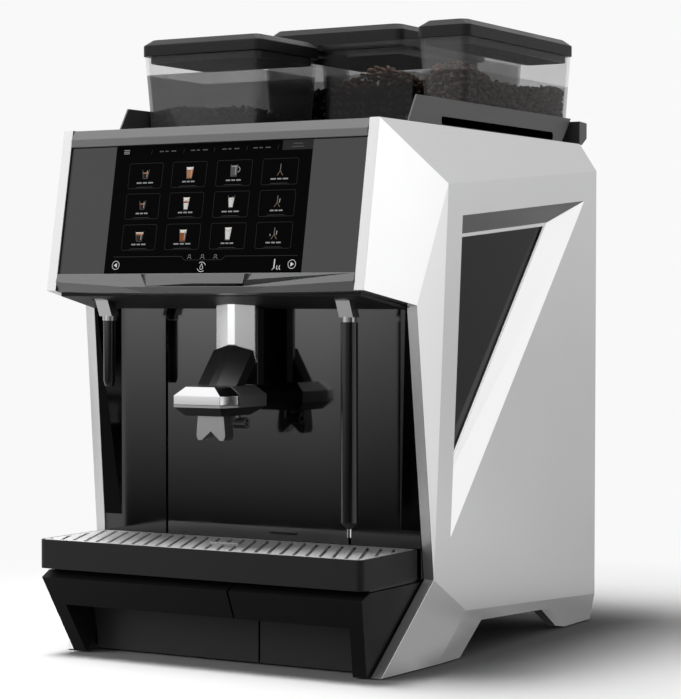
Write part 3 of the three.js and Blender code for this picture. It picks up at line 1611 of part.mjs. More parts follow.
// Middle hopper: bends behind the left one, with a flange and a closed shoulder under its lid
function middleOutline(shrink) {
  return [
    [middleHopperInner + shrink, rightHopperFront + shrink],
    [middleHopperRight - shrink, rightHopperFront + shrink],
    [middleHopperRight - shrink, middleHopperRear - shrink],
    [middleHopperLeft + shrink, middleHopperRear - shrink],
    [middleHopperLeft + shrink, middleHopperStep + shrink],
    [middleHopperInner + shrink, middleHopperStep + shrink],
  ];
}

function middleHopper() {
  const low = deckTopZ + gap;
  const top = middleHopperTopZ;
  const [tx, ty] = throats.middle;
  const outer = loft([at(middleOutline(hopperTaper), low), at(middleOutline(0), top)]);
  const inner = loft([
    at(middleOutline(hopperTaper + hopperWall), low + hopperFloor),
    at(middleOutline(hopperWall), top - hopperWall),
  ]);
  const flange = prismZ(middleOutline(-middleFlange / 2), top, top + middleFlangeThick);
  const mouth = box(
    middleHopperLeft + middleLidInset + middleFlange + hopperWall, middleLidRight - middleLidInset - middleFlange,
    middleHopperStep + middleLidInset + middleFlange + hopperWall, middleHopperRear - middleLidInset - middleFlange,
    top - hopperWall - over, top + middleFlangeThick + over,
  );
  const spigot = barZ(spigotRadius, deckTopZ - spigotDrop, low + over, tx, ty);
  const bore = barZ(spigotBore, deckTopZ - spigotDrop - over, low + hopperFloor + over, tx, ty);
  return outer.subtract(inner).add(flange).subtract(mouth).add(spigot).subtract(bore);
}

function middleLid() {
  const z = middleHopperTopZ + middleFlangeThick;
  const ring = (shrink, level) => roundedRing(
    middleHopperLeft + middleLidInset + shrink, middleLidRight - shrink,
    middleHopperStep + shrink, middleHopperRear - shrink,
    hopperCorner, level,
  );
  const low = z + gap;
  const deep = middleFlange + middleLidInset + hopperWall + gap;
  const skirt = loft([ring(0, low), ring(0, middleLidTopZ - lidChamfer), ring(lidChamfer, middleLidTopZ)]);
  const plug = loft([ring(deep, low - middleFlangeThick), ring(deep, low + over)]);
  const hollow = loft([
    ring(deep + lidWall, low - middleFlangeThick - over),
    ring(deep + lidWall, middleLidTopZ - lidChamfer),
  ]);
  return skirt.add(plug).subtract(hollow);
}

function middleHeap() {
  const low = deckTopZ + gap + hopperFloor + beanClearance;
  const lean = hopperTaper / (middleHopperTopZ - deckTopZ - gap);
  const inside = (z) => hopperWall + beanClearance + lean * (middleHopperTopZ - z);
  const ring = (extra, z) => at(middleOutline(inside(z) + extra), z);
  return loft([
    ring(hopperWall, low),
    ring(0, middleBeanZ - beanCrown),
    ring(beanCrown, middleBeanZ - beanCrown / 2),
    ring(beanCrown * 2, middleBeanZ),
  ]);
}

function hoppers() {
  const left = [leftHopperLeft, leftHopperRight, leftHopperFront, leftHopperRear, leftHopperTopZ];
  const right = [rightHopperLeft, rightHopperRight, rightHopperFront, rightHopperRear, rightHopperTopZ];
  piece('left_hopper', hopper(...left, throats.left), smoke);
  piece('left_lid', lid(...left, lidHeight), charcoal);
  piece('left_beans', heap(...left, leftBeanZ), beanBrown);
  piece('right_hopper', hopper(...right, throats.right), smoke);
  piece('right_lid', lid(...right, lidHeight), charcoal);
  piece('right_beans', heap(...right, rightBeanZ), beanBrown);
  piece('middle_hopper', middleHopper(), smoke);
  piece('middle_lid', middleLid(), charcoal);
  piece('middle_beans', middleHeap(), beanBrown);
}

// Grinders hang under the deck, each with its neck round a hopper's spigot
function grinder(x, y) {
  const top = deckTopZ - deckThick - gap;
  const neckLow = top - grinderNeckHeight;
  const bodyLow = neckLow - grinderHeight;
  const profile = [
    [0, bodyLow - grinderMotorHeight],
    [grinderMotorRadius, bodyLow - grinderMotorHeight],
    [grinderMotorRadius, bodyLow],
    [grinderRadius, bodyLow],
    [grinderRadius, neckLow],
    [grinderNeckRadius, neckLow],
    [grinderNeckRadius, top],
    [spigotRadius + gap, top],
    [spigotRadius + gap, deckTopZ - spigotDrop - over],
    [spigotBore, deckTopZ - spigotDrop - over],
    [spigotBore, neckLow - grinderNeckHeight],
    [0, neckLow - grinderNeckHeight],
  ];
  return turned(profile, x, y, 20);
}

// A boiler on three legs, with domed ends and two ports on top
function boiler(x, y, radius, height) {
  const floor = floorRaisedZ + floorThick + gap;
  const low = floor + boilerLegHeight;
  const dome = radius * boilerDomeShare;
  const profile = [[0, low]];
  const steps = 4;
  for (let i = 1; i <= steps; i += 1) {
    const angle = (i / steps) * (Math.PI / 2);
    profile.push([radius * Math.sin(angle), low + dome * (1 - Math.cos(angle))]);
  }
  for (let i = steps; i >= 0; i -= 1) {
    const angle = (i / steps) * (Math.PI / 2);
    profile.push([radius * Math.sin(angle), low + height - dome * (1 - Math.cos(angle))]);
  }
  let body = turned(profile, x, y, 20);
  for (let i = 0; i < 3; i += 1) {
    const angle = (i / 3) * Math.PI * 2;
    const lx = x + (radius - boilerLegRadius * 2) * Math.cos(angle);
    const ly = y + (radius - boilerLegRadius * 2) * Math.sin(angle);
    body = body.add(barZ(boilerLegRadius, floor, low + dome, lx, ly, 12));
  }
  for (const side of [-1, 1]) {
    const px = x + (side * radius) / 3;
    body = body.add(barZ(boilerPortRadius, low + height - dome, low + height + boilerPortHeight, px, y, 16));
  }
  return body;
}

// Brewing unit: four posts and two plates, a chamber, and a piston on its spindle
function brewUnit() {
  const floor = floorRaisedZ + floorThick + gap;
  const x1 = brewWidth / 2;
  const y0 = archFrontY + brewPost;
  const y1 = y0 + brewDepth;
  const middleY = (y0 + y1) / 2;
  const brewTopZ = floor + brewHeight;
  const brewChamberZ = floor + brewChamberRise;
  let frame = box(-x1, x1, y0, y1, brewTopZ - brewPlate, brewTopZ);
  frame = frame.add(box(-x1, x1, y0, y1, brewChamberZ - brewPlate, brewChamberZ));
  for (const x of [-x1, x1 - brewPost]) {
    for (const y of [y0, y1 - brewPost]) {
      frame = frame.add(box(x, x + brewPost, y, y + brewPost, floor, brewTopZ));
    }
  }
  const chamberTop = brewChamberZ + brewChamberHeight;
  const chamber = turned(
    [
      [0, brewChamberZ - over],
      [brewChamberRadius, brewChamberZ - over],
      [brewChamberRadius, chamberTop],
      [brewPistonRadius + over, chamberTop],
      [brewPistonRadius + over, brewChamberZ + brewPlate],
      [0, brewChamberZ + brewPlate],
    ],
    0, middleY,
  );
  const pistonLow = chamberTop + brewPistonGap;
  const piston = barZ(brewPistonRadius, pistonLow, pistonLow + brewPlate * 2, 0, middleY);
  const spindle = barZ(brewSpindleRadius, pistonLow + brewPlate, brewTopZ - brewPlate / 2, 0, middleY, 16);
  return frame.add(chamber).add(piston).add(spindle);
}

// Pump and motor on a saddle
function waterPump() {
  const floor = floorRaisedZ + floorThick + gap;
  const axis = floor + pumpSaddleHeight + pumpRadius;
  const y0 = boilerY - pumpForward;
  const end = pumpLength / 2;
  const motor = barX(pumpRadius, -end, end - pumpHeadLength, y0, axis);
  const head = barX(pumpHeadRadius, end - pumpHeadLength - over, end, y0, axis);
  const saddle = box(-pumpLength / 3, 0, y0 - pumpRadius / 2, y0 + pumpRadius / 2, floor, axis);
  return motor.add(head).add(saddle);
}

// Control board on four standoffs at the rear cover
function controlBoard() {
  const back = rearCoverY - gap;
  const face = back - boardStandoff;
  const x1 = boardWidth / 2;
  const boardLowZ = floorRaisedZ + boardRise;
  const z1 = boardLowZ + boardHeight;
  let board = box(-x1, x1, face - boardThick, face, boardLowZ, z1);
  for (const x of [-x1 + boardStandoff, x1 - boardStandoff]) {
    for (const z of [boardLowZ + boardStandoff, z1 - boardStandoff]) {
      board = board.add(barY(boardStandoffRadius, face - boardThick / 2, back, x, z, 12));
    }
  }
  for (const share of boardChipShares) {
    const x = -x1 + boardWidth * share;
    board = board.add(box(
      x - boardChip / 2, x + boardChip / 2,
      face - boardThick - boardChipHeight, face - boardThick / 2,
      boardLowZ + boardChip, boardLowZ + boardChip * 2,
    ));
  }
  return board;
}

function machinery() {
  piece('left_grinder', grinder(...throats.left), charcoal);
  piece('middle_grinder', grinder(...throats.middle), charcoal);
  piece('right_grinder', grinder(...throats.right), charcoal);
  piece('steam_boiler', boiler(boilerX, boilerY, steamBoilerRadius, steamBoilerHeight), steel);
  piece('coffee_boiler', boiler(-boilerX, boilerY, coffeeBoilerRadius, coffeeBoilerHeight), steel);
  piece('brew_unit', brewUnit(), nozzleGrey);
  piece('water_pump', waterPump(), brass);
  piece('control_board', controlBoard(), boardGreen);
}

sides();
feet();
floorSheet();
trayShelf();
rearCover();
powerInlet();
waterInlet();
topDeck();
collar();
topBar();
bottomBar();
badgePlate();
glassAndDisplay();
soffit();
bayBack();
spout();
wands();
dripTray();
dripGrid();
drawers();
hoppers();
machinery();

// Origin at the middle of the footprint, with the pads on the counter
machine.position.set(0, -(trayFrontY + rearY) / 2, padProud);

export default machine;
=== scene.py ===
# %% [markdown]
# # A bean-to-cup coffee machine, dressed for its picture
# The CAD model gives every piece its true place and size. Blender adds what a photograph of
# the real machine shows: rounded edges, satin paint, smoked plastic, loose beans, a lit screen.
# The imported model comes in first, as a fixed frame that nothing below moves.

import json
import math

import bmesh
import bpy
import numpy as np
from mathutils import Matrix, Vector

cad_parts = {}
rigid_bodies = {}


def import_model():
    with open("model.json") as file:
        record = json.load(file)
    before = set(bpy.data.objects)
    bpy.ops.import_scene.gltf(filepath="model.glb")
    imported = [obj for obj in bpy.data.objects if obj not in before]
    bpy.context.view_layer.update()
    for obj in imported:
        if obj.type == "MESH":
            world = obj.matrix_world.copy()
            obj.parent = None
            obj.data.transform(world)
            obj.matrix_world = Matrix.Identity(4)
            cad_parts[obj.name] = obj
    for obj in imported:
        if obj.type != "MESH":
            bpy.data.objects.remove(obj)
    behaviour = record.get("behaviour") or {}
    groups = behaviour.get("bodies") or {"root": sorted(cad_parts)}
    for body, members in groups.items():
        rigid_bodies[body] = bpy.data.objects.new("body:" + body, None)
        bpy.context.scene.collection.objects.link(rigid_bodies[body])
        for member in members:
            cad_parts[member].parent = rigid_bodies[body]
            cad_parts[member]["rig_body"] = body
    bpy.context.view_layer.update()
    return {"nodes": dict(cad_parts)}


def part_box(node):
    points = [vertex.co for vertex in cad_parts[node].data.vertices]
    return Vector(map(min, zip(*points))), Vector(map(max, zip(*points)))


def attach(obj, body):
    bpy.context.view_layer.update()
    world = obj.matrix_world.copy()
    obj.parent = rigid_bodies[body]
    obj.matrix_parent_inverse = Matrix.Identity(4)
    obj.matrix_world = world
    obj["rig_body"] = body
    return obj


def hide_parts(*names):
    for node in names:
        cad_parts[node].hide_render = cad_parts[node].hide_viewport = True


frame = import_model()
MM = 0.001

# %% [markdown]
# ## Lengths and places
# The object stands at the origin, but the fascia and the camera were measured from the toe
# of the front foot. One small function turns such a place, in millimetres, into the frame's
# metres, so that every number below can be read as a length on the machine.

# %% Places in millimetres from the front toe
TOE_TO_CENTRE = 238.2
PAD_HEIGHT = 1.5


def spot(x, y, z):
    """A place in metres: the toe's millimetres, moved back by the centre and up by the pads."""
    x, y, z = (np.asarray(each, float) for each in (x, y, z))
    return np.stack(np.broadcast_arrays(x, y - TOE_TO_CENTRE, z + PAD_HEIGHT), axis=-1) * MM


# %% [markdown]
# Whatever is made below joins the scene in the same way: a lens, a lamp, or points and faces
# worked out as arrays. Numbers kept at the points are for a material to read.

# %% New objects
def linked(name, data):
    """An object made from a mesh, a lamp or a camera, and linked to the scene."""
    thing = bpy.data.objects.new(name, data)
    bpy.context.scene.collection.objects.link(thing)
    return thing


def aim(thing, right, up, back, place):
    """Turns a camera or a lamp by its own three axes and puts it in its place."""
    turn = np.eye(4)
    turn[:3] = np.column_stack((right, up, back, place))
    thing.matrix_world = Matrix(turn.tolist())


def meshed(name, points, faces, material, smooth=False):
    """An object made of points and faces, in one material."""
    mesh = bpy.data.meshes.new(name)
    mesh.from_pydata(np.reshape(points, (-1, 3)), [], faces)
    mesh.polygons.foreach_set("use_smooth", np.full(len(mesh.polygons), smooth))
    mesh.materials.append(material)
    return linked(name, mesh)


def at_points(piece, label, values):
    """Keeps a number at every point of a piece."""
    layer = piece.data.attributes.new(label, "FLOAT", "POINT")
    layer.data.foreach_set("value", np.asarray(values, np.float32).ravel())


def grid_quads(rows, columns):
    """Corner numbers of the quads between the points of a grid, row by row."""
    first = (np.arange(rows - 1)[:, None] * columns + np.arange(columns - 1)[None, :]).ravel()
    return np.stack((first, first + 1, first + columns + 1, first + columns), -1)


def ring_quads(rings, around):
    """Corner numbers of the quads between closed rings of points, ring by ring."""
    row, col = np.meshgrid(np.arange(rings - 1) * around, np.arange(around), indexing="ij")
    nxt = (col + 1) % around
    corners = (row + col, row + nxt, row + nxt + around, row + col + around)
    return np.stack(corners, -1).reshape(-1, 4)


# %% [markdown]
# ## The camera
# A product picture is taken with a long lens from some metres away, so upright edges stay
# upright. The camera is turned by the three directions that fit the machine's edges: right,
# up, and backwards along the view.

# %% Stand the camera up
VIEW_RIGHT = (0.8611, 0.5084, 0.0)
VIEW_UP = (-0.01162, 0.01968, 0.99974)
VIEW_AHEAD = (-0.5083, 0.8609, -0.02286)
CAMERA_PLACE = (1382.0, -2076.2, 399.4)
LENS_MM = 117.9
SENSOR_MM = 36
FAR_CLIP = 60


def stand_camera():
    """A camera looks along minus its third axis; the lens fits a picture of 681 by 699."""
    data = bpy.data.cameras.new("long_lens")
    data.sensor_width = SENSOR_MM
    data.lens = LENS_MM
    data.clip_end = FAR_CLIP
    camera = linked("camera", data)
    aim(camera, VIEW_RIGHT, VIEW_UP, -np.array(VIEW_AHEAD), spot(*CAMERA_PLACE))
    bpy.context.scene.camera = camera
    return camera


camera = stand_camera()
print("camera at", [round(v, 3) for v in camera.matrix_world.translation])

# %% [markdown]
# ## Wiring materials
# Materials are built from nodes. Short helpers keep the wiring readable: one places a node
# and fills its sockets, either with a value or with a link from another node, one starts a
# material with one Principled shader, and a few stand for the steps that come back often.

# %% Place a node and fill its sockets
def fill(tree, node, sockets):
    """Each socket takes a plain value, or is linked when the value is another node's output."""
    for key, value in sockets.items():
        socket = node.inputs[key]
        if isinstance(value, bpy.types.NodeSocket):
            tree.links.new(value, socket)
        elif isinstance(value, (tuple, list)) and len(value) == 3 and socket.type == "RGBA":
            socket.default_value = (*value, 1)
        else:
            socket.default_value = value
    return node


def put(tree, kind, sockets=None, **settings):
    """Adds a node of a kind, sets its options, and fills its sockets."""
    node = tree.nodes.new("ShaderNode" + kind)
    for key, value in settings.items():
        setattr(node, key, value)
    return fill(tree, node, sockets or {})


def start(name, **plain):
    """A material whose Principled shader gets plain values; an underscore stands for a space."""
    material = bpy.data.materials.new(name)
    material.use_nodes = True
    tree = material.node_tree
    shader = tree.nodes["Principled BSDF"]
    fill(tree, shader, {key.replace("_", " "): value for key, value in plain.items()})
    return material, tree, shader


def group(name, inputs, outputs):
    """A node group with named number inputs and outputs, with its two end nodes."""
    tree = bpy.data.node_groups.new(name, "ShaderNodeTree")
    for label, kind, value in inputs:
        socket = tree.interface.new_socket(
            name=label, in_out="INPUT", socket_type="NodeSocket" + kind)
        socket.default_value = value
    for label, kind in outputs:
        tree.interface.new_socket(name=label, in_out="OUTPUT", socket_type="NodeSocket" + kind)
    return tree, tree.nodes.new("NodeGroupInput"), tree.nodes.new("NodeGroupOutput")


def place_group(tree, shared, **values):
    """Places a shared effect in a material, with its own values."""
    node = tree.nodes.new("ShaderNodeGroup")
    node.node_tree = shared
    return fill(tree, node, {key.replace("_", " "): value for key, value in values.items()})


# %% Steps that come back in many materials
def here(tree):
    """The shaded point's own place on the machine, in metres."""
    return put(tree, "TexCoord").outputs["Object"]


def maths(tree, operation, one, other, **settings):
    """One sum of two numbers, as a socket."""
    return put(tree, "Math", {0: one, 1: other}, operation=operation, **settings).outputs[0]


def mapped(tree, value, low, high, to_low=0.0, to_high=1.0, **settings):
    """Goes from to_low to to_high while the value goes from low to high."""
    return put(tree, "MapRange", {
        "Value": value, "From Min": low, "From Max": high, "To Min": to_low, "To Max": to_high,
    }, **settings).outputs[0]


def per_metre(tree, source, label):
    """How often a group's size in millimetres goes into a metre, which is the scale of a noise."""
    return maths(tree, "DIVIDE", 1000.0, source.outputs[label])


def bumped(tree, height, strength, deep):
    """The normal, tipped by a height that changes over the surface; deep is in metres."""
    return put(tree, "Bump", {"Height": height, "Strength": strength, "Distance": deep}).outputs[0]


def mixed(tree, mask, one, other, **settings):
    """A colour that goes from one to the other with the mask."""
    return put(tree, "Mix", {0: mask, 6: one, 7: other}, data_type="RGBA", **settings).outputs[2]


def grey(level):
    """A colour without a hue."""
    return (level, level, level)


def shade(colour, factor):
    """The same colour made lighter or darker by a factor."""
    return tuple(min(1.0, max(0.0, channel * factor)) for channel in colour)


# %% [markdown]
# ## Effects that several finishes share
# Real surfaces are never quite even. Four effects do most of the work here: a fine grain for
# moulded plastic and metallic paint, long brushed lines for sheet steel, slow cloudy changes
# of gloss where hands and cloths have been, and a painted highlight that makes edges a little
# lighter in colour. Each is built once as a node group and given its own numbers later.

# %% Fine grain
def make_grain():
    """Two layers of noise, one at the grain's size and one five times finer, added together."""
    tree, source, result = group(
        "fine_grain", [("Size mm", "Float", 0.4), ("Depth", "Float", 0.5)],
        [("Height", "Float"), ("Tone", "Float")])
    place, scale = here(tree), per_metre(tree, source, "Size mm")
    coarse = put(tree, "TexNoise", {"Vector": place, "Scale": scale, "Detail": 2.0}).outputs["Fac"]
    finer = maths(tree, "MULTIPLY", scale, 5.0)
    fine = put(tree, "TexNoise", {"Vector": place, "Scale": finer, "Detail": 1.0}).outputs["Fac"]
    both = maths(tree, "ADD", coarse, fine)
    height = maths(tree, "MULTIPLY", both, source.outputs["Depth"])
    fill(tree, result, {"Height": height, "Tone": coarse})
    return tree


grain = make_grain()


# %% Cloudy gloss
def make_clouds():
    """Slow, slightly bent noise, spread between a low and a high value."""
    tree, source, result = group(
        "cloudy_gloss",
        [("Size mm", "Float", 90.0), ("Low", "Float", 0.3), ("High", "Float", 0.4)],
        [("Value", "Float"), ("Cloud", "Float")])
    slow = put(tree, "TexNoise", {
        "Vector": here(tree), "Scale": per_metre(tree, source, "Size mm"),
        "Detail": 3.0, "Distortion": 0.6}).outputs["Fac"]
    value = mapped(tree, slow, 0.3, 0.7, source.outputs["Low"], source.outputs["High"])
    fill(tree, result, {"Value": value, "Cloud": slow})
    return tree


clouds = make_clouds()


# %% Brushed lines
def make_brushed():
    """Noise stretched sixty times along one direction, which reads as fine parallel scratches."""
    tree, source, result = group(
        "brushed_lines", [("Turn", "Vector", (0, 0, 0)), ("Pitch mm", "Float", 0.5)],
        [("Height", "Float"), ("Tone", "Float")])
    turned = put(tree, "Mapping", {
        "Vector": here(tree), "Rotation": source.outputs["Turn"], "Scale": (1.0, 0.016, 1.0)})
    lines = put(tree, "TexNoise", {
        "Vector": turned.outputs[0], "Scale": per_metre(tree, source, "Pitch mm"),
        "Detail": 3.0, "Roughness": 0.6}).outputs["Fac"]
    fill(tree, result, {"Height": lines, "Tone": lines})
    return tree


brushed = make_brushed()


# %% Painted highlight on edges
HARDLY_TURNED, WELL_TURNED = 0.99, 0.88


def make_edge_highlight():
    """Mask of the painted highlight: where the rounded and the true normal part, their dot falls."""
    tree, source, result = group("painted_edge_highlight", [("Radius mm", "Float", 0.8)], [("Mask", "Float")])
    radius = maths(tree, "MULTIPLY", source.outputs["Radius mm"], MM)
    rounded = put(tree, "Bevel", {"Radius": radius}, samples=4).outputs[0]
    true = put(tree, "NewGeometry").outputs["Normal"]
    dot = put(tree, "VectorMath", {0: rounded, 1: true}, operation="DOT_PRODUCT").outputs["Value"]
    fill(tree, result, {"Mask": mapped(tree, dot, HARDLY_TURNED, WELL_TURNED)})
    return tree


# This group paints a highlight on edges.
edges = make_edge_highlight()
print("shared effects:", [g.name for g in (grain, clouds, brushed, edges)])

# %% [markdown]
# ## Finishes
# Each kind of surface is one function, because it comes back in several tones: the satin paint
# covers the side shells, the fascia's bars and the collar round the hoppers, and the moulded
# plastic covers the tray, the drawers, the lids and the feet. Both are a thin even skin with
# a fine grain, so one recipe makes them, and they differ only in the numbers it is given.

# %% Paint, plastic and rubber
PAINT_CLOUD = (110.0, -0.012, 0.015)
PLASTIC_CLOUD = (70.0, -0.05, 0.06)


def coated(name, colour, rough, size, edge_highlight_radius, cloud, speck, edge, depth, **plain):
    """Grain varies the tone and tips the normal, clouds vary the gloss, edges get a painted
    highlight.
    """
    material, tree, shader = start(name, **plain)
    skin = place_group(tree, grain, Size_mm=size, Depth=1.0)
    edge_highlight = place_group(tree, edges, Radius_mm=edge_highlight_radius)
    wide, less, more = cloud
    gloss = place_group(tree, clouds, Size_mm=wide, Low=rough + less, High=rough + more)
    tone = mixed(tree, skin.outputs["Tone"], shade(colour, 1 - speck), shade(colour, 1 + speck))
    # edge is the factor by which the painted highlight lightens the colour on edges.
    fill(tree, shader, {
        "Base Color": mixed(tree, edge_highlight.outputs["Mask"], tone, shade(colour, edge)),
        "Roughness": gloss.outputs["Value"],
        "Normal": bumped(tree, skin.outputs["Height"], depth, 0.0002)})
    return material


# In both finishes below, edge sets how strong the painted highlight on edges is.
def satin_paint(name, colour, metallic, rough, flake=0.05, edge=1.12):
    """Metallic paint: tiny flakes vary its tone, and it lies so smooth that they hardly stand up."""
    return coated(name, colour, rough, 0.5, 1.0, PAINT_CLOUD, flake, edge, 0.04, Metallic=metallic)


def moulded(name, colour, rough, size=0.5, depth=0.25, edge=1.5, shine=0.5):
    """Spark-eroded plastic: a fine pitted skin, with a painted highlight on its edges."""
    return coated(
        name, colour, rough, size, 0.8, PLASTIC_CLOUD, 0.1, edge, depth,
        Metallic=0.0, Specular_IOR_Level=shine)


# %% Gloss panels, chrome and steel
def gloss_panel(name, colour, rough, ior):
    """Tempered glass or lacquered plastic: dark, smooth, with faint wiped streaks in its gloss."""
    material, tree, shader = start(name, Metallic=0.0, IOR=ior)
    wiped = place_group(tree, clouds, Size_mm=60.0, Low=max(0.0, rough - 0.02), High=rough + 0.03)
    depth = place_group(tree, grain, Size_mm=30.0, Depth=0.3)
    tone = mixed(tree, depth.outputs["Tone"], shade(colour, 0.85), shade(colour, 1.15))
    fill(tree, shader, {"Base Color": tone, "Roughness": wiped.outputs["Value"]})
    return material


def bare_metal(name, colour, rough, turn=None, pitch=0.6, depth=0.12, metallic=1.0):
    """Bare metal: polished where turn is None, otherwise brushed along the turned direction."""
    material, tree, shader = start(name, Metallic=metallic)
    gloss = place_group(tree, clouds, Size_mm=25.0, Low=rough - 0.02, High=rough + 0.05)
    fill(tree, shader, {"Roughness": gloss.outputs["Value"]})
    if turn is None:
        tone = mixed(tree, gloss.outputs["Cloud"], shade(colour, 0.97), shade(colour, 1.02))
        fill(tree, shader, {"Base Color": tone})
        return material
    lines = place_group(tree, brushed, Turn=turn, Pitch_mm=pitch)
    tone = mixed(tree, lines.outputs["Tone"], shade(colour, 0.86), shade(colour, 1.12))
    fill(tree, shader, {
        "Base Color": tone, "Normal": bumped(tree, lines.outputs["Height"], depth, 0.0003)})
    return material


# %% [markdown]
# The hoppers are clear plastic with a smoked lower part, two millimetres thick. So thin a wall
# hardly bends light, and the beans behind it must still be lit, so the smoke is made as cover:
# each surface hides a share of what lies behind it, more below the band than above. Object
# coordinates give the band's height in metres, because every piece's place is in its mesh.

# %% Smoked hopper plastic
BAND_BLUR = 0.25 * MM


def smoked(name, band_z, clear, smoke, haze_and_painted_light, clear_haze_and_painted_light):
    """Cover steps per surface from smoke to clear at a height; each grey holds painted light and
    shade.
    """
    material, tree, shader = start(name, Metallic=0.0, IOR=1.45, Specular_IOR_Level=0.35)
    height = put(tree, "SeparateXYZ", {"Vector": here(tree)}).outputs["Z"]
    above = mapped(tree, height, band_z - BAND_BLUR, band_z + BAND_BLUR)
    cover = mapped(tree, above, 0.0, 1.0, smoke, clear)
    cloud = place_group(tree, clouds, Size_mm=45.0, Low=0.94, High=1.06)
    gloss = place_group(tree, clouds, Size_mm=80.0, Low=0.02, High=0.06)
    fill(tree, shader, {
        "Base Color": mixed(tree, above, (haze_and_painted_light, haze_and_painted_light, haze_and_painted_light * 1.02), grey(clear_haze_and_painted_light)),
        "Roughness": gloss.outputs["Value"],
        "Alpha": maths(tree, "MULTIPLY", cover, cloud.outputs["Value"])})
    return material


# %% Mix every finish of the machine
TURN_ACROSS = (0.0, 0.0, math.radians(90))
TURN_ALONG = (0.0, 0.0, 0.0)
TURN_GRID = (0.0, 0.0, math.radians(-25))
finishes = {}


def mix(make, name, *values, **options):
    """Makes one finish and keeps it under its own name."""
    finishes[name] = make(name, *values, **options)


mix(satin_paint, "satin_silver", (0.80, 0.80, 0.805), 0.93, 0.20, flake=0.03)
mix(satin_paint, "bar_grey", (0.20, 0.20, 0.202), 0.45, 0.34, edge=1.5)
mix(satin_paint, "collar_grey", (0.135, 0.135, 0.137), 0.2, 0.42, edge=1.4)
mix(satin_paint, "spout_silver", (0.92, 0.92, 0.925), 0.92, 0.24, flake=0.03)
mix(satin_paint, "dark_alloy", (0.13, 0.13, 0.132), 0.85, 0.30, edge=1.3)
mix(moulded, "charcoal", (0.024, 0.024, 0.025), 0.48, shine=0.16)
mix(moulded, "tray_plastic", (0.052, 0.052, 0.053), 0.46, shine=0.14)
mix(moulded, "lid_plastic", (0.032, 0.032, 0.033), 0.38, size=0.35, depth=0.15, shine=0.12)
mix(moulded, "black", (0.010, 0.010, 0.0105), 0.5, shine=0.3)
# Painted shade: the underside of the window's top edge is painted darker and duller.
mix(satin_paint, "thin_coat", (0.42, 0.42, 0.422), 0.15, 0.55, flake=0.03, edge=1.3)
# Painted light: the narrow front rims are painted lighter and less metallic.
mix(satin_paint, "rim_silver", (0.96, 0.96, 0.963), 0.55, 0.30, flake=0.03)
mix(satin_paint, "head_plastic", (0.50, 0.50, 0.502), 0.5, 0.36, flake=0.04)
# Painted light: the drawers' front faces are painted paler than the charcoal around them.
mix(moulded, "panel_plastic", (0.085, 0.085, 0.086), 0.45, shine=0.3)
mix(moulded, "rubber", (0.014, 0.014, 0.014), 0.75, size=0.8)
mix(satin_paint, "nozzle_grey", (0.46, 0.46, 0.465), 0.80, 0.28, flake=0.06)
mix(moulded, "board", (0.03, 0.12, 0.06), 0.35, size=3.0, depth=0.1)
mix(gloss_panel, "gloss_black", (0.003, 0.003, 0.0032), 0.03, 1.72)
mix(gloss_panel, "bay_black", (0.002, 0.002, 0.0022), 0.06, 1.76)
mix(gloss_panel, "corner_black", (0.002, 0.002, 0.0022), 0.09, 1.64)
mix(gloss_panel, "flange_black", (0.002, 0.002, 0.0022), 0.16, 1.14)
mix(gloss_panel, "tinted_pane", (0.008, 0.008, 0.0085), 0.05, 1.22)
mix(bare_metal, "chrome", (0.80, 0.80, 0.81), 0.10)
mix(bare_metal, "satin_chrome", (0.41, 0.41, 0.415), 0.20)
mix(gloss_panel, "dark_tube", (0.012, 0.012, 0.0123), 0.20, 1.5)
mix(bare_metal, "steel", (0.96, 0.96, 0.965), 0.38, turn=TURN_GRID, metallic=0.25)
mix(bare_metal, "dark_sheet", (0.06, 0.06, 0.061), 0.40, turn=TURN_ALONG)
mix(bare_metal, "sheet_steel", (0.42, 0.42, 0.425), 0.36, turn=TURN_ALONG)
mix(bare_metal, "brass", (0.60, 0.43, 0.19), 0.28, turn=TURN_ACROSS)
print("finishes:", len(finishes))

# %% [markdown]
# ## Carrying the CAD pieces over
# A CAD mesh is loose triangles with perfectly sharp edges. No moulded or folded part has
# such edges, and a sharp edge never catches a highlight. So each visible piece is copied,
# its triangles are joined into its true flat faces, and a Bevel modifier rounds the edges by
# the radius that the real part would have. The copy then stands for the CAD node.

# %% Round the edges of a CAD piece
TURNED_CREASE = math.radians(32)
FACET_CREASE = math.radians(2.5)
SAME_PLANE = math.radians(0.6)
SAME_POINT = 0.002 * MM


def joined_copy(node, name, crease=TURNED_CREASE):
    """Merges the triangles' doubles, dissolves the edges inside flat faces, keeps creases sharp."""
    source = frame["nodes"][node]
    mesh = bpy.data.meshes.new(name)
    work = bmesh.new()
    work.from_mesh(source.data)
    bmesh.ops.remove_doubles(work, verts=work.verts, dist=SAME_POINT)
    bmesh.ops.dissolve_limit(work, angle_limit=SAME_PLANE, verts=work.verts, edges=work.edges)
    for face in work.faces:
        face.smooth = True
    for edge in work.edges:
        if len(edge.link_faces) == 2 and edge.calc_face_angle(0) > crease:
            edge.smooth = False
    work.to_mesh(mesh)
    work.free()
    return linked(name, mesh)


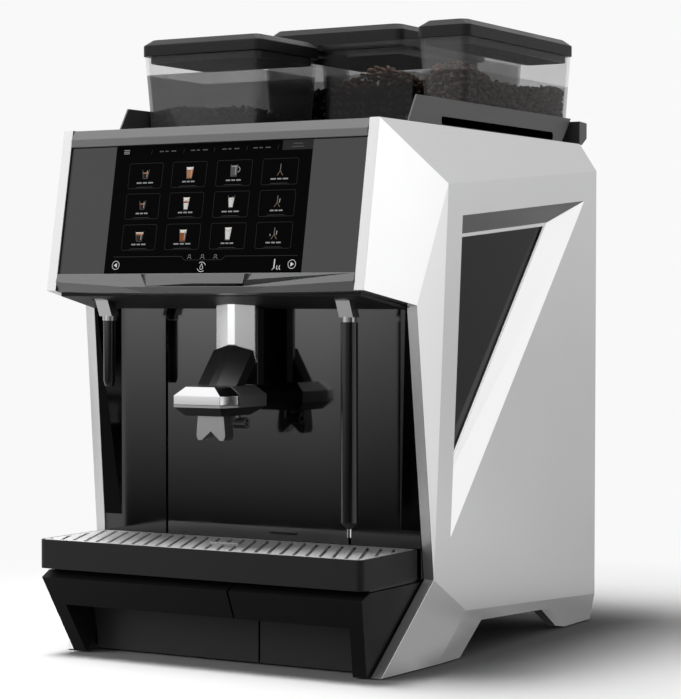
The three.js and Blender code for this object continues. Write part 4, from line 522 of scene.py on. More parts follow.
def softened(node, name, finish, radius=0.0, segments=2, crease=TURNED_CREASE):
    """Copies a CAD node, rounds its edges by a radius in millimetres, and takes its place."""
    source = frame["nodes"][node]
    piece = joined_copy(node, name, crease)
    piece.data.materials.append(finishes[finish])
    if radius:
        for edge in piece.data.edges:
            edge.use_edge_sharp = False
        bevel = piece.modifiers.new("rounded_edges", "BEVEL")
        bevel.width = radius * MM
        bevel.segments = segments
        bevel.limit_method = "ANGLE"
        bevel.angle_limit = crease
        bevel.use_clamp_overlap = True
        bevel.miter_outer = "MITER_ARC"
        flat = piece.modifiers.new("flat_faces", "WEIGHTED_NORMAL")
        flat.mode = "FACE_AREA"
        flat.weight = 100
        flat.keep_sharp = True
    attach(piece, source["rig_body"])
    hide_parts(node)
    return piece


# %% [markdown]
# ## The housing
# Folded and moulded panels differ in how round their edges are: a cast or folded side shell
# has about a millimetre, a painted bar half of that, a thin sheet almost none. The table
# gives each piece its finish and its radius. Pieces made of flat facets keep even the
# shallowest crease between them crisp; on turned pieces the shading runs over the facets. A
# star in a name stands for a piece at the right and its mirror image at the left.

# %% Dress the housing
housing = {
    "side_shell_*": ("satin_silver", 1.4), "side_pane_*": ("tinted_pane", 0.3),
    "fascia_top_bar": ("bar_grey", 0.5), "fascia_bottom_bar": ("bar_grey", 0.5),
    "badge_plate": ("bar_grey", 0.3), "fascia_glass": ("gloss_black", 0.3),
    "display_housing": ("black", 0.0), "head_soffit": ("black", 0.4),
    "bay_back_panel": ("bay_black", 0.0), "bay_corner_*": ("corner_black", 0.3),
    "foot_front_*": ("rubber", 0.6), "foot_rear_*": ("rubber", 0.6),
    "floor_sheet": ("dark_sheet", 0.0), "tray_shelf": ("dark_sheet", 0.3),
    "rear_cover": ("charcoal", 0.3), "power_inlet": ("black", 0.0), "water_inlet": ("brass", 0.0),
    "top_deck": ("charcoal", 0.4), "collar_plate_*": ("collar_grey", 0.4),
    "rear_ledge": ("collar_grey", 0.5), "spout_guide": ("sheet_steel", 0.0),
}
faceted = (
    "side_shell_*", "side_pane_*", "fascia_top_bar", "fascia_bottom_bar", "badge_plate",
    "fascia_glass", "head_soffit", "collar_plate_*", "rear_ledge", "spout_cover", "spout_carriage",
    "spout_trim", "spout_head", "steam_arm", "water_arm", "grounds_drawer_front",
    "waste_drawer_front", "drip_tray", "bay_back_panel", "bay_corner_*",
)


def sides(name):
    """A star in a name stands for the right piece and the left one."""
    return [name.replace("*", side) for side in ("right", "left")] if "*" in name else [name]


def dress(table):
    """Softens every piece of a table, with the crease that its kind of surface needs."""
    for name, (finish, radius) in table.items():
        crease = FACET_CREASE if name in faceted else TURNED_CREASE
        for node in sides(name):
            softened(node, "shown_" + node, finish, radius, crease=crease)


dress(housing)
print("rows of housing pieces:", len(housing))

# %% [markdown]
# ## Spout, wands, tray and drawers
# These move, so each copy rides on the body of the node that it stands for. Turned pieces,
# such as the wands, need no bevel: their facets are smoothed by the shading alone.

# %% Dress the moving pieces
moving = {
    "spout_cover": ("spout_silver", 0.7), "spout_carriage": ("dark_alloy", 0.5),
    "spout_trim": ("chrome", 0.6), "spout_head": ("head_plastic", 0.5),
    "spout_nozzle": ("nozzle_grey", 0.4), "steam_arm": ("satin_chrome", 0.8),
    "steam_tube": ("dark_tube", 0.0), "steam_tip": ("chrome", 0.0),
    "water_arm": ("satin_chrome", 0.8), "water_tube": ("dark_tube", 0.0),
    "drip_tray": ("tray_plastic", 0.9), "drip_grid": ("steel", 0.0),
    "grounds_drawer_front": ("charcoal", 0.8), "waste_drawer_front": ("charcoal", 0.8),
    "grounds_bin": ("black", 0.4), "waste_bin": ("black", 0.4),
    "left_lid": ("lid_plastic", 1.0), "middle_lid": ("lid_plastic", 1.0),
    "right_lid": ("lid_plastic", 1.0),
}
dress(moving)
print("moving pieces:", len(moving))

# %% [markdown]
# Some faces look unlike the rest of their piece. The underside of the window's top edge is painted
# darker and duller as painted shade, and the narrow front rims are painted lighter as painted
# light. The drawers' front panels are painted a little paler as painted light, the bay corners'
# front edges lie deep in shade, and the spout head's downward faces are painted charcoal as
# painted shade. Such faces are picked by where they look.

# %% Faces of a second finish
def refinish(piece, finish, facing, least):
    """Faces whose normal has at least the given cosine with a direction take a second finish."""
    mesh = piece.data
    mesh.materials.append(finishes[finish])
    normals = np.empty(len(mesh.polygons) * 3, np.float32)
    mesh.polygons.foreach_get("normal", normals)
    picked = normals.reshape(-1, 3) @ np.asarray(facing, np.float32) > least
    slots = np.empty(len(mesh.polygons), np.int32)
    mesh.polygons.foreach_get("material_index", slots)
    slots[picked] = len(mesh.materials) - 1
    mesh.polygons.foreach_set("material_index", slots)
    print(piece.name, "faces in", finish + ":", int(picked.sum()))


AHEAD, DOWN = (0.0, -1.0, 0.0), (0.0, 0.0, -1.0)
RIM_WAY, CORNER_WAY = (0.0, -0.95, 0.3), (0.0, -0.995, -0.1)
second_finishes = (
    # Painted shade on the windows' undersides, painted light on the front rims.
    ("side_shell_right", "thin_coat", (0.707, 0.074, -0.703), 0.995),
    ("side_shell_right", "rim_silver", RIM_WAY, 0.80),
    ("side_shell_left", "thin_coat", (-0.707, 0.074, -0.703), 0.995),
    ("side_shell_left", "rim_silver", RIM_WAY, 0.80),
    # The drawers' front faces take painted light.
    ("grounds_drawer_front", "panel_plastic", AHEAD, 0.9999),
    ("waste_drawer_front", "panel_plastic", AHEAD, 0.9999),
    ("bay_corner_left", "flange_black", CORNER_WAY, 0.9985),
    ("bay_corner_right", "flange_black", CORNER_WAY, 0.9985),
    # The spout head's downward faces take charcoal as painted shade.
    ("spout_head", "charcoal", DOWN, 0.3),
)
for node, finish, facing, least in second_finishes:
    refinish(bpy.data.objects["shown_" + node], finish, facing, least)

# %% [markdown]
# Under the grid's slots lies a fluted steel gauze that calms the drops, so the slots look pale
# rather than black. It is one wave on a grid of points: the height is a sine of the distance
# across the flutes, which run the same slanting way as the slots.

# %% Gauze under the grid
FLUTE_PITCH = 8.0
FLUTE_DEPTH = 0.7
GAUZE_MARGIN = 9.0
GAUZE_DROP = 1.3
GAUZE_WALL = 0.4
GAUZE_STEPS = (260, 24)
FLUTE_TURN = math.radians(56)
MESHES_PER_METRE = 620.0


def lay_gauze():
    """z = low - drop + depth * sin of the distance across the flutes, over the grid's inner area."""
    low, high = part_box("drip_grid")
    edge = GAUZE_MARGIN * MM
    across = np.linspace(low.x + edge, high.x - edge, GAUZE_STEPS[0])
    along = np.linspace(low.y + edge, high.y - edge, GAUZE_STEPS[1])
    x, y = np.meshgrid(across, along)
    way = x * math.sin(FLUTE_TURN) - y * math.cos(FLUTE_TURN)
    phase = way * 2 * math.pi / (FLUTE_PITCH * MM)
    z = low.z + (FLUTE_DEPTH * np.sin(phase) - GAUZE_DROP) * MM
    gauze = meshed(
        "grid_gauze", np.stack((x, y, z), -1), grid_quads(*x.shape), finishes["gauze"], smooth=True)
    wall = gauze.modifiers.new("sheet", "SOLIDIFY")
    wall.thickness = GAUZE_WALL * MM
    wall.offset = 0
    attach(gauze, frame["nodes"]["drip_grid"]["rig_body"])
    return gauze


def woven():
    """Bright wire with a dark dot in each mesh: cell noise gives one dot to every opening."""
    material, tree, shader = start("gauze", Metallic=0.5, Roughness=0.42)
    cells = put(tree, "TexVoronoi", {
        "Vector": here(tree), "Scale": MESHES_PER_METRE, "Randomness": 0.15})
    distance = cells.outputs["Distance"]
    tone = mixed(tree, mapped(tree, distance, 0.28, 0.42), grey(0.16), (0.74, 0.74, 0.745))
    fill(tree, shader, {"Base Color": tone, "Normal": bumped(tree, distance, 0.3, 0.0003)})
    return material


finishes["gauze"] = woven()
print("gauze faces:", len(lay_gauze().data.polygons))

# %% [markdown]
# The back cover is held by button-head screws. One head is a profile turned round its axis: up
# the domed side, over the rim of the socket and down to the socket's floor.

# %% Screws of the back cover
HEAD_PROFILE = np.array((
    (3.6, 0.0), (3.5, 0.7), (2.9, 1.3), (2.0, 1.6),
    (1.5, 1.62), (1.4, 1.5), (1.3, 0.5), (0.02, 0.45)))
HEAD_AROUND = 20
SCREW_INSET = 9.0
SCREWS_IN_A_ROW = 3


def back_screws():
    """x = r cos t, z = r sin t, y = height out of the cover; all the copies are one mesh."""
    low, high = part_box("rear_cover")
    turn = np.arange(HEAD_AROUND) / HEAD_AROUND * 2 * math.pi
    r, rise = HEAD_PROFILE[:, 0:1] * MM, HEAD_PROFILE[:, 1:2] * MM
    head = np.stack((r * np.cos(turn), rise + 0 * turn, r * np.sin(turn)), -1).reshape(-1, 3)
    edge = SCREW_INSET * MM
    heights = np.linspace(low.z + edge, high.z - edge, SCREWS_IN_A_ROW)
    places = np.array([(x, high.y, z) for x in (low.x + edge, high.x - edge) for z in heights])
    points = places[:, None, :] + head[None]
    outward = np.roll(ring_quads(len(HEAD_PROFILE), HEAD_AROUND)[:, ::-1], 1, axis=1)
    shift = (np.arange(len(places)) * len(head))[:, None, None]
    faces = (outward[None] + shift).reshape(-1, 4).tolist()
    faces += [list(range(k + len(head) - HEAD_AROUND, k + len(head)))[::-1] for k in shift.ravel()]
    piece = meshed("back_screws", points, faces, finishes["sheet_steel"])
    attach(piece, frame["nodes"]["rear_cover"]["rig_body"])
    return piece


print("screw faces:", len(back_screws().data.polygons))

# %% [markdown]
# ## The machinery inside
# Grinders, boilers, the brewing unit, the pump and the board are only seen through openings,
# so their CAD shapes stay and take a finish that suits each of them.

# %% Dress the machinery
inside = {
    "left_grinder": "charcoal", "middle_grinder": "charcoal", "right_grinder": "charcoal",
    "steam_boiler": "sheet_steel", "coffee_boiler": "sheet_steel", "brew_unit": "nozzle_grey",
    "water_pump": "brass", "control_board": "board",
}
for node, finish in inside.items():
    carried = frame["nodes"][node].data.materials
    carried.clear()
    carried.append(finishes[finish])
print("machinery pieces:", len(inside))

# %% [markdown]
# ## Hoppers
# Each hopper is one clear moulding with a smoked lower part. The smoke ends about 70 mm above
# the deck. The table gives that height in millimetres, then the share that each surface hides
# above and below it, and how light the haze is below and above. That haze is the plastic's grey
# with painted light and shade in it: the middle hopper's is nearly black as painted shade, and
# the right one's clear part is painted lighter than the left's as painted light.

# %% Dress the hoppers
deck_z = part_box("side_shell_right")[1].z
# The last two numbers of each row hold painted light and shade as well as the plastic's grey.
hopper_looks = {
    "left": (73.5, 0.12, 0.54, 0.15, 0.40),
    "middle": (70.0, 0.32, 0.58, 0.004, 0.01),
    "right": (70.0, 0.16, 0.34, 0.14, 0.70),
}
for side, (rise, *look) in hopper_looks.items():
    finishes[side + "_smoke"] = smoked(side + "_hopper_plastic", deck_z + rise * MM, *look)
    softened(side + "_hopper", "shown_" + side + "_hopper", side + "_smoke", 0.0)
print("hoppers:", list(hopper_looks))

# %% [markdown]
# ## Coffee beans
# A bean is an ellipsoid, about 10 by 7 by 5 mm, flat on one side with a crease along it. One
# template of a few dozen faces is worked out on a grid of two angles, then copied to every
# place as one array product: turned by its own matrix, scaled, and moved. Only the beans
# that can be seen are made: the top of each heap and those that press on the walls. A dark
# core fills the heap behind them.

# %% One bean
BEAN_AROUND = 8
BEAN_ALONG = 6
HALF_LONG, HALF_WIDE, HALF_HIGH = 4.9, 3.5, 3.1
POLE_GAP = 0.12
FLAT_SIDE = 0.5
CREASE_WIDE, CREASE_DEEP = 0.7, 1.0


def bean_template():
    """x = a cos v, y = b sin v cos u, z = c sin v sin u; the lower half is flattened and creased."""
    v = np.linspace(POLE_GAP, math.pi - POLE_GAP, BEAN_ALONG)
    u = np.arange(BEAN_AROUND) / BEAN_AROUND * 2 * math.pi - math.pi / 2
    v, u = np.meshgrid(v, u, indexing="ij")
    x = HALF_LONG * np.cos(v)
    y = HALF_WIDE * np.sin(v) * np.cos(u)
    z = HALF_HIGH * np.sin(v) * np.sin(u)
    z = np.where(z < 0, z * FLAT_SIDE, z)
    crease = np.exp(-((y / CREASE_WIDE) ** 2)) * (z < 0)
    z = z + CREASE_DEEP * crease * np.sin(v)
    points = np.stack((x, y, z), axis=-1).reshape(-1, 3)
    one_end = list(range(BEAN_AROUND))
    caps = [one_end[::-1], [k + BEAN_AROUND * (BEAN_ALONG - 1) for k in one_end]]
    quads = ring_quads(BEAN_ALONG, BEAN_AROUND)
    return points * MM, quads, caps, np.clip(crease, 0, 1).reshape(-1)


bean_points, bean_quads, bean_caps, crease_shade = bean_template()
print("faces in one bean:", len(bean_quads) + len(bean_caps))


# %% [markdown]
# A heap's top isn't flat: beans are poured in and lie in soft hills. The height is the fill
# level plus a few bell-shaped hills. A place on the heap is kept only when it lies inside
# the hopper's own outline, so the bent middle hopper is two overlapping rectangles.

# %% Where the beans lie
def hills(x, y, level, bumps):
    """Level plus the sum of bells: height times exp of minus the squared distance over the width."""
    height = np.full(np.shape(x), level, float)
    for cx, cy, rise, wide, deep in bumps:
        height = height + rise * np.exp(-(((x - cx) / wide) ** 2) - ((y - cy) / deep) ** 2)
    return height


def inside_any(x, y, rooms, margin):
    """True where a place lies in one of the rectangles, shrunk by a margin."""
    keep = np.zeros(np.shape(x), bool)
    for x0, x1, y0, y1 in rooms:
        keep |= (x > x0 + margin) & (x < x1 - margin) & (y > y0 + margin) & (y < y1 - margin)
    return keep


def turn_matrices(rng, count, tilt):
    """Random turns: about z by any angle, then tipped about x and y by a normal share of tilt."""
    a = rng.uniform(0, 2 * math.pi, count)
    b = rng.normal(0, tilt, count)
    c = rng.normal(0, tilt, count) + rng.choice([0.0, math.pi], count, p=[0.55, 0.45])
    one, nil = np.ones(count), np.zeros(count)
    rz = np.stack([np.cos(a), -np.sin(a), nil, np.sin(a), np.cos(a), nil, nil, nil, one], -1)
    ry = np.stack([np.cos(b), nil, np.sin(b), nil, one, nil, -np.sin(b), nil, np.cos(b)], -1)
    rx = np.stack([one, nil, nil, nil, np.cos(c), -np.sin(c), nil, np.sin(c), np.cos(c)], -1)
    shape = (count, 3, 3)
    return rz.reshape(shape) @ ry.reshape(shape) @ rx.reshape(shape)


LAYERS, LAYER_DROP, LAYER_SHIFT = 3, 3.2, 3.3
TOP_GAP, SIDE_GAP = 5.4, 4.0
TOP_JITTER, HEIGHT_JITTER = 3.2, 1.2
SIDE_JITTER, RISE_JITTER = 2.6, 2.2
SIDE_STEP, RISE_STEP = 1.06, 0.85
STAND_OFF, LOOSE = 4.4, (-0.4, 0.5)
END_GAP, BELOW_TOP, CLIMB = 3, 2, 26


def jittered(rng, values, reach):
    """The same values, each moved by up to its reach either way."""
    return values + rng.uniform(-reach, reach, values.shape)


def bean_places(rng, rooms, level, floor, bumps, taper, pitch):
    """Places in mm: three jittered layers on the top, and one layer behind each wall."""
    x0, x1 = min(r[0] for r in rooms), max(r[1] for r in rooms)
    y0, y1 = min(r[2] for r in rooms), max(r[3] for r in rooms)
    places = []
    for layer in range(LAYERS):
        gx, gy = np.meshgrid(np.arange(x0, x1, pitch), np.arange(y0, y1, pitch), indexing="ij")
        gx = jittered(rng, gx, TOP_JITTER) + layer * LAYER_SHIFT
        gy = jittered(rng, gy, TOP_JITTER) + layer * LAYER_SHIFT
        keep = inside_any(gx, gy, rooms, TOP_GAP)
        gx, gy = gx[keep], gy[keep]
        top = jittered(rng, hills(gx, gy, level, bumps) - layer * LAYER_DROP, HEIGHT_JITTER)
        places.append(np.stack((gx, gy, top), -1))
    for x_a, x_b, y_a, y_b in rooms:
        walls = (
            (0, x_a, 1, y_a, y_b), (0, x_b, -1, y_a, y_b),
            (1, y_a, 1, x_a, x_b), (1, y_b, -1, x_a, x_b))
        for axis, at, inward, low, high in walls:
            s, z = np.meshgrid(
                np.arange(low + END_GAP, high - END_GAP, pitch * SIDE_STEP),
                np.arange(floor, level + CLIMB, pitch * RISE_STEP), indexing="ij")
            s = jittered(rng, s, SIDE_JITTER).ravel()
            z = jittered(rng, z, RISE_JITTER).ravel()
            lean = (level - z) * taper
            depth = at + inward * (STAND_OFF + lean + rng.uniform(*LOOSE, s.shape))
            px, py = (depth, s) if axis == 0 else (s, depth)
            covered = z < hills(px, py, level, bumps) - BELOW_TOP
            keep = covered & inside_any(px, py, rooms, SIDE_GAP)
            places.append(np.stack((px, py, z), -1)[keep])
    return np.concatenate(places)


# %% [markdown]
# All the copies go into one mesh. The arrays are built with broadcasting: every template
# point is turned by every matrix at once. Two numbers are kept at each point for the
# material, how dark the roast of this bean is and how deep in the crease the point lies,
# which sets the painted shade in the crease.

# %% Pour the beans
BEAN_PITCH = 6.6
BEAN_TILT = 0.55
BEAN_SIZES = (0.82, 1.08)


def pour(name, node, body, rooms, level, floor, bumps, taper, seed, pitch=BEAN_PITCH):
    """Point = place + scale * turn @ template point, for all beans and all points at once."""
    rng = np.random.default_rng(seed)
    places = bean_places(rng, rooms, level, floor, bumps, taper, pitch) * MM
    count = len(places)
    turns = turn_matrices(rng, count, BEAN_TILT)
    scale = rng.uniform(*BEAN_SIZES, (count, 1, 1))
    points = places[:, None, :] + scale * np.einsum("nij,kj->nki", turns, bean_points)
    step = len(bean_points)
    shift = (np.arange(count) * step)[:, None, None]
    quads = (bean_quads[None] + shift).reshape(-1, 4)
    caps = (np.array(bean_caps)[None] + shift).reshape(-1, BEAN_AROUND)
    piece = meshed(name, points, quads.tolist() + caps.tolist(), finishes["beans"], smooth=True)
    at_points(piece, "roast", np.repeat(rng.uniform(0, 1, count), step))
    # The crease number sets the painted shade in each bean's crease.
    at_points(piece, "crease", np.tile(crease_shade, count))
    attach(piece, body)
    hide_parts(node)
    print(name, "beans:", count, "triangles:", count * (2 * len(bean_quads) + 2 * (BEAN_AROUND - 2)))
    return piece


def roasted():
    """Each bean's roast picks its brown, the crease gets painted shade, and the skin is slightly
    oily.
    """
    material, tree, shader = start("roasted_beans", Coat_Weight=0.15, Coat_Roughness=0.3)
    roast = put(tree, "Attribute", attribute_name="roast")
    crease = put(tree, "Attribute", attribute_name="crease")
    skin = place_group(tree, grain, Size_mm=1.6, Depth=1.0)
    tone = mixed(tree, roast.outputs["Fac"], (0.24, 0.15, 0.11), (0.62, 0.43, 0.33))
    mottled = mixed(tree, skin.outputs["Tone"], tone, (0.20, 0.125, 0.09))
    # Painted shade: the crease is darkened nearly to black.
    final = mixed(tree, crease.outputs["Fac"], mottled, (0.02, 0.010, 0.006))
    gloss = place_group(tree, clouds, Size_mm=6.0, Low=0.38, High=0.55)
    fill(tree, shader, {
        "Base Color": final, "Roughness": gloss.outputs["Value"],
        "Normal": bumped(tree, skin.outputs["Height"], 0.3, 0.0003)})
    return material


finishes["beans"] = roasted()

# %% [markdown]
# The CAD heap's box gives each hopper's room, its floor and its fill level. The front hopper is
# nearly empty, the other two are heaped towards the front. A hill is its place, its rise, and
# its width each way, in millimetres. The step is where the middle room gets narrower.

# %% Fill the three hoppers
FLOOR_LIFT = 4
MIDDLE_PITCH = 10.9
STEP_X, STEP_Y = 5.4, 275.4 - TOE_TO_CENTRE


def room_of(node):
    """A node's box as a rectangle in millimetres: from and to along x, then along y."""
    low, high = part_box(node)
    return low.x / MM, high.x / MM, low.y / MM, high.y / MM


def heap(side, rooms, drop, bumps, taper, seed, **spacing):
    """Beans from just above the CAD heap's floor up to a drop below its top."""
    low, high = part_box(side + "_beans")
    return pour(
        "beans_" + side, side + "_beans", side + "_hopper", rooms, high.z / MM - drop,
        low.z / MM + FLOOR_LIFT, bumps, taper, seed, **spacing)


x0, x1, y0, y1 = room = room_of("left_beans")
heap("left", [room], 6, [(x0 + 30, y0 + 20, 12, 46, 60), (x0 + 115, y0 + 15, 9, 50, 40)], 0.06, 11)
x0, x1, y0, y1 = room = room_of("right_beans")
heap("right", [room], 9, [(x0 + 40, y0 + 8, 18, 60, 58), (x0 + 40, y1 - 8, 8, 60, 46)], 0.05, 12)
x0, x1, y0, y1 = room_of("middle_beans")
heap(
    "middle", [(x0, x1, STEP_Y, y1), (STEP_X, x1, y0, y1)], 9,
    [(72, y0 + 12, 21, 42, 60), (-40, STEP_Y + 60, 6, 60, 60)], 0.05, 13, pitch=MIDDLE_PITCH)

# %% [markdown]
# ## The dark core of each heap
# Between the beans one looks into shadow. A copy of the CAD heap, drawn in by a few
# millimetres and painted dark as that shadow, closes each gap without thousands of hidden beans.

# %% Fill the heaps
CORE_SHRINK = 6.0
SINK = 0.5


def core(node, name, body, shrink):
    """Every point of the joined CAD heap moves against its own normal; the upper ones also sink."""
    piece = joined_copy(node, name)
    count = len(piece.data.vertices)
    points = np.empty(count * 3, np.float32)
    normals = np.empty(count * 3, np.float32)
    piece.data.vertices.foreach_get("co", points)
    piece.data.vertices.foreach_get("normal", normals)
    points = points.reshape(-1, 3) - normals.reshape(-1, 3) * shrink * MM
    points[:, 2] -= SINK * shrink * MM * (points[:, 2] > points[:, 2].mean())
    piece.data.vertices.foreach_set("co", points.ravel())
    piece.data.update()
    piece.data.materials.append(finishes["bean_dust"])
    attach(piece, body)
    return piece


# The heap's core is painted shade: it stands for the shadow between the beans.
mix(moulded, "bean_dust", (0.030, 0.019, 0.014), 0.8, size=2.5, depth=0.8, edge=1.0)
for side in ("left", "middle", "right"):
    core(side + "_beans", "heap_core_" + side, side + "_hopper", CORE_SHRINK)

# %% [markdown]
# ## The screen
# The glass is one black sheet, and the picture lies behind it. It is drawn here as flat
# shapes in the panel's own two directions, across and up the slope, lifted a tenth of a
# millimetre off the glass so that nothing flickers. Shapes are outlines and strips made
# from arrays; a colour on each face tells the material what shines.

# %% The panel's own directions
SLOPE = math.radians(10.4)
PANEL_ORIGIN = spot(0, -35.5, 406.5)
PANEL_UP = np.array((0.0, math.sin(SLOPE), math.cos(SLOPE)))
PANEL_OUT = np.array((0.0, -math.cos(SLOPE), math.sin(SLOPE)))
GLASS_DEPTH = 3.5


def on_panel(u, v, lift):
    """Origin plus u across, v up the slope, and a lift outward from the glass, all in mm."""
    u, v, lift = np.broadcast_arrays(*(np.asarray(each, float) for each in (u, v, lift)))
    outward = (lift[..., None] - GLASS_DEPTH) * MM * PANEL_OUT
    place = PANEL_ORIGIN + v[..., None] * MM * PANEL_UP + outward
    place[..., 0] += u * MM
    return place


picture = {"points": [], "faces": [], "colours": []}
INK_LIFT = 0.16
RIM_LIFT = 0.2
LONGEST_MITRE = 0.3


def draw(u, v, colour, lift=INK_LIFT):
    """Adds one flat face with its own colour. The outline runs counter-clockwise."""
    first = sum(len(p) for p in picture["points"])
    picture["points"].append(on_panel(u, v, lift))
    picture["faces"].append(list(range(first, first + len(u))))
    picture["colours"].append(colour)


def draw_rect(u0, u1, v0, v1, colour, lift=INK_LIFT):
    """A rectangle between two corners."""
    draw((u0, u1, u1, u0), (v0, v0, v1, v1), colour, lift)


def draw_line(u, v, wide, colour, closed=False, lift=INK_LIFT):
    """A strip of quads: each point of the line is moved both ways along its mitred normal."""
    line = np.stack((np.asarray(u, float), np.asarray(v, float)), -1)
    ahead = np.roll(line, -1, 0) - line
    if not closed:
        ahead[-1] = ahead[-2]
    ahead /= np.linalg.norm(ahead, axis=1, keepdims=True)
    back = np.roll(ahead, 1, 0)
    if not closed:
        back[0] = ahead[0]
    normal = np.stack((-(ahead + back)[:, 1], (ahead + back)[:, 0]), -1)
    square = np.stack((-ahead[:, 1], ahead[:, 0]), -1)
    normal /= np.maximum(np.sum(normal * square, 1, keepdims=True), LONGEST_MITRE)
    one, other = line + normal * wide / 2, line - normal * wide / 2
    last = len(line) if closed else len(line) - 1
    for i in range(last):
        j = (i + 1) % len(line)
        quad = np.array((other[i], other[j], one[j], one[i]))
        draw(quad[:, 0], quad[:, 1], colour, lift)


def arc(cu, cv, radius, first, last, steps=20):
    """Points on a circle between two angles in degrees."""
    angle = np.radians(np.linspace(first, last, steps))
    return cu + radius * np.cos(angle), cv + radius * np.sin(angle)


# %% The black picture area and its bars
WHITE = grey(0.80)
SILVER = (0.32, 0.32, 0.33)
FAINT = (0.045, 0.045, 0.047)
DIM = grey(0.09)
INK = grey(0.0006)
draw_rect(-131.0, 125.0, 19.6, 163.4, INK, 0.06)
draw_rect(87.0, 125.0, 152.8, 163.4, (0.028, 0.028, 0.029), 0.1)
for row in range(3):
    draw_rect(-120.5, -113.0, 154.6 + row * 1.9, 155.5 + row * 1.9, SILVER)
for u in (-83.0, -40.0, 0.0, 42.0, 81.5):
    draw_line((u - 0.5, u + 0.5), (153.6, 158.4), 0.35, FAINT)
for u in (-61.5, -20.0, 21.0, 61.0):
    for k, long in enumerate((7.0, 5.0, 8.0)):
        left = u - 11 + k * 7.8
        draw_rect(left, left + long * 0.8, 155.6, 156.9, grey(0.10))
for row, long in ((159.0, 12.0), (155.6, 15.0)):
    draw_rect(106 - long / 2, 106 + long / 2, row, row + 1.0, DIM)
shelf_u = (-120.0, -29.5, -25.0, 23.3, 27.3, 119.0)
shelf_v = (38.4, 38.4, 34.3, 34.3, 38.2, 38.0)
draw_line(shelf_u, shelf_v, 0.45, FAINT)

# %% [markdown]
# The twelve tiles share one frame: a rectangle with round corners whose lower edge is
# brighter in the middle. The drinks are simple glasses, wider at the rim than at the foot,
# with bands of milk, foam and coffee. Plain dashes stand where a menu has its words.

# %% Tiles and drinks
TILE_U = (-88.2, -30.3, 28.2, 86.6)
TILE_V = (129.3, 94.9, 60.1)
COFFEE = (0.28, 0.085, 0.025)
LIGHT_COFFEE = (0.46, 0.20, 0.085)
DARK_COFFEE = (0.035, 0.018, 0.012)
MILK = (0.72, 0.71, 0.69)
FOAM = (0.85, 0.80, 0.73)
GLASS = grey(0.12)


def tile(u, v):
    """Round-cornered frame, 45 by 28 mm, in one thin line, with a brighter dash at its foot."""
    half_u, half_v, r = 22.4, 14.2, 2.2
    outline_u, outline_v = [], []
    for a, b, first in ((1, 1, 0), (-1, 1, 90), (-1, -1, 180), (1, -1, 270)):
        corner = arc(u + a * (half_u - r), v + b * (half_v - r), r, first, first + 90, 5)
        outline_u.extend(corner[0])
        outline_v.extend(corner[1])
    draw_line(outline_u, outline_v, 0.3, FAINT, True)
    foot = v - half_v
    draw_line((u - 13, u - 10.5, u + 10.5, u + 13), (foot, foot + 1.4, foot + 1.4, foot), 0.3, FAINT)
    draw_line((u - 10, u + 10), (foot + 1.4, foot + 1.4), 0.4, DIM)


def dashes(u, v, total):
    """Three short strokes that stand for a label."""
    for place, long in ((-0.5, 0.3), (-0.12, 0.24), (0.2, 0.3)):
        draw_rect(u + place * total, u + (place + long) * total, v - 0.75, v + 0.75, grey(0.34))


def drink(u, v, wide, tall, taper, bands, handle=False):
    """A glass: half width grows with height from taper to one; bands fill it from the foot up."""
    def half(share):
        return wide / 2 * (taper + (1 - taper) * share)

    for t0, t1, colour in bands:
        draw(
            (u - half(t0), u + half(t0), u + half(t1), u - half(t1)),
            (v + t0 * tall, v + t0 * tall, v + t1 * tall, v + t1 * tall), colour)
    draw_line(
        (u - half(1), u - half(0), u + half(0), u + half(1)),
        (v + tall, v - 0.3, v - 0.3, v + tall), 0.55, GLASS, lift=RIM_LIFT)
    draw_line(*arc(u, v + tall, half(1), 180, 360, 9), 0.35, GLASS, lift=RIM_LIFT)
    draw_rect(
        u + half(0.5) * 0.45, u + half(0.5) * 0.62, v + tall * 0.12, v + tall * 0.9,
        (0.5, 0.48, 0.46), 0.22)
    if handle:
        draw_line(*arc(u + half(0.5) + 0.4, v + tall * 0.55, tall * 0.24, -80, 80, 9), 0.9, SILVER)


small_bands = ((0.05, 0.55, DARK_COFFEE), (0.55, 0.68, LIGHT_COFFEE))
large_bands = ((0.05, 0.62, DARK_COFFEE), (0.62, 0.8, LIGHT_COFFEE), (0.8, 0.9, FOAM))
for row, v in enumerate(TILE_V):
    for u in TILE_U:
        tile(u, v)
        dashes(u, v - 7.9, 16 + 3 * ((row + int(u)) % 3))
drink(-88.2, 126.6, 9.0, 9.6, 0.62, small_bands)
drink(-88.2, 92.0, 8.4, 9.2, 0.62, small_bands)
drink(-88.0, 56.2, 11.0, 10.6, 0.6, large_bands)
drink(-29.6, 125.0, 9.6, 13.4, 0.66, ((0.03, 0.72, LIGHT_COFFEE), (0.72, 0.93, FOAM)))
drink(-30.2, 90.2, 8.6, 14.0, 0.56, ((0.03, 0.52, MILK), (0.52, 0.66, COFFEE), (0.66, 0.96, FOAM)))
drink(-30.2, 55.0, 9.4, 13.6, 0.66, ((0.03, 0.70, COFFEE), (0.70, 0.94, FOAM)))
drink(28.0, 126.0, 8.6, 12.8, 0.86, ((0.03, 0.80, grey(0.10)), (0.80, 0.9, SILVER)), True)
drink(28.2, 91.4, 8.6, 13.4, 0.56, ((0.03, 0.72, MILK), (0.72, 0.8, FOAM)))
drink(28.2, 56.0, 8.8, 13.8, 0.6, ((0.03, 0.86, MILK), (0.86, 0.97, FOAM)))


# %% [markdown]
# The right column works the wands: a fine stalk that forks like a jet of steam. Below the
# tiles lie three little service signs, a drop in a ring, a cup sign, and two arrows in rings.

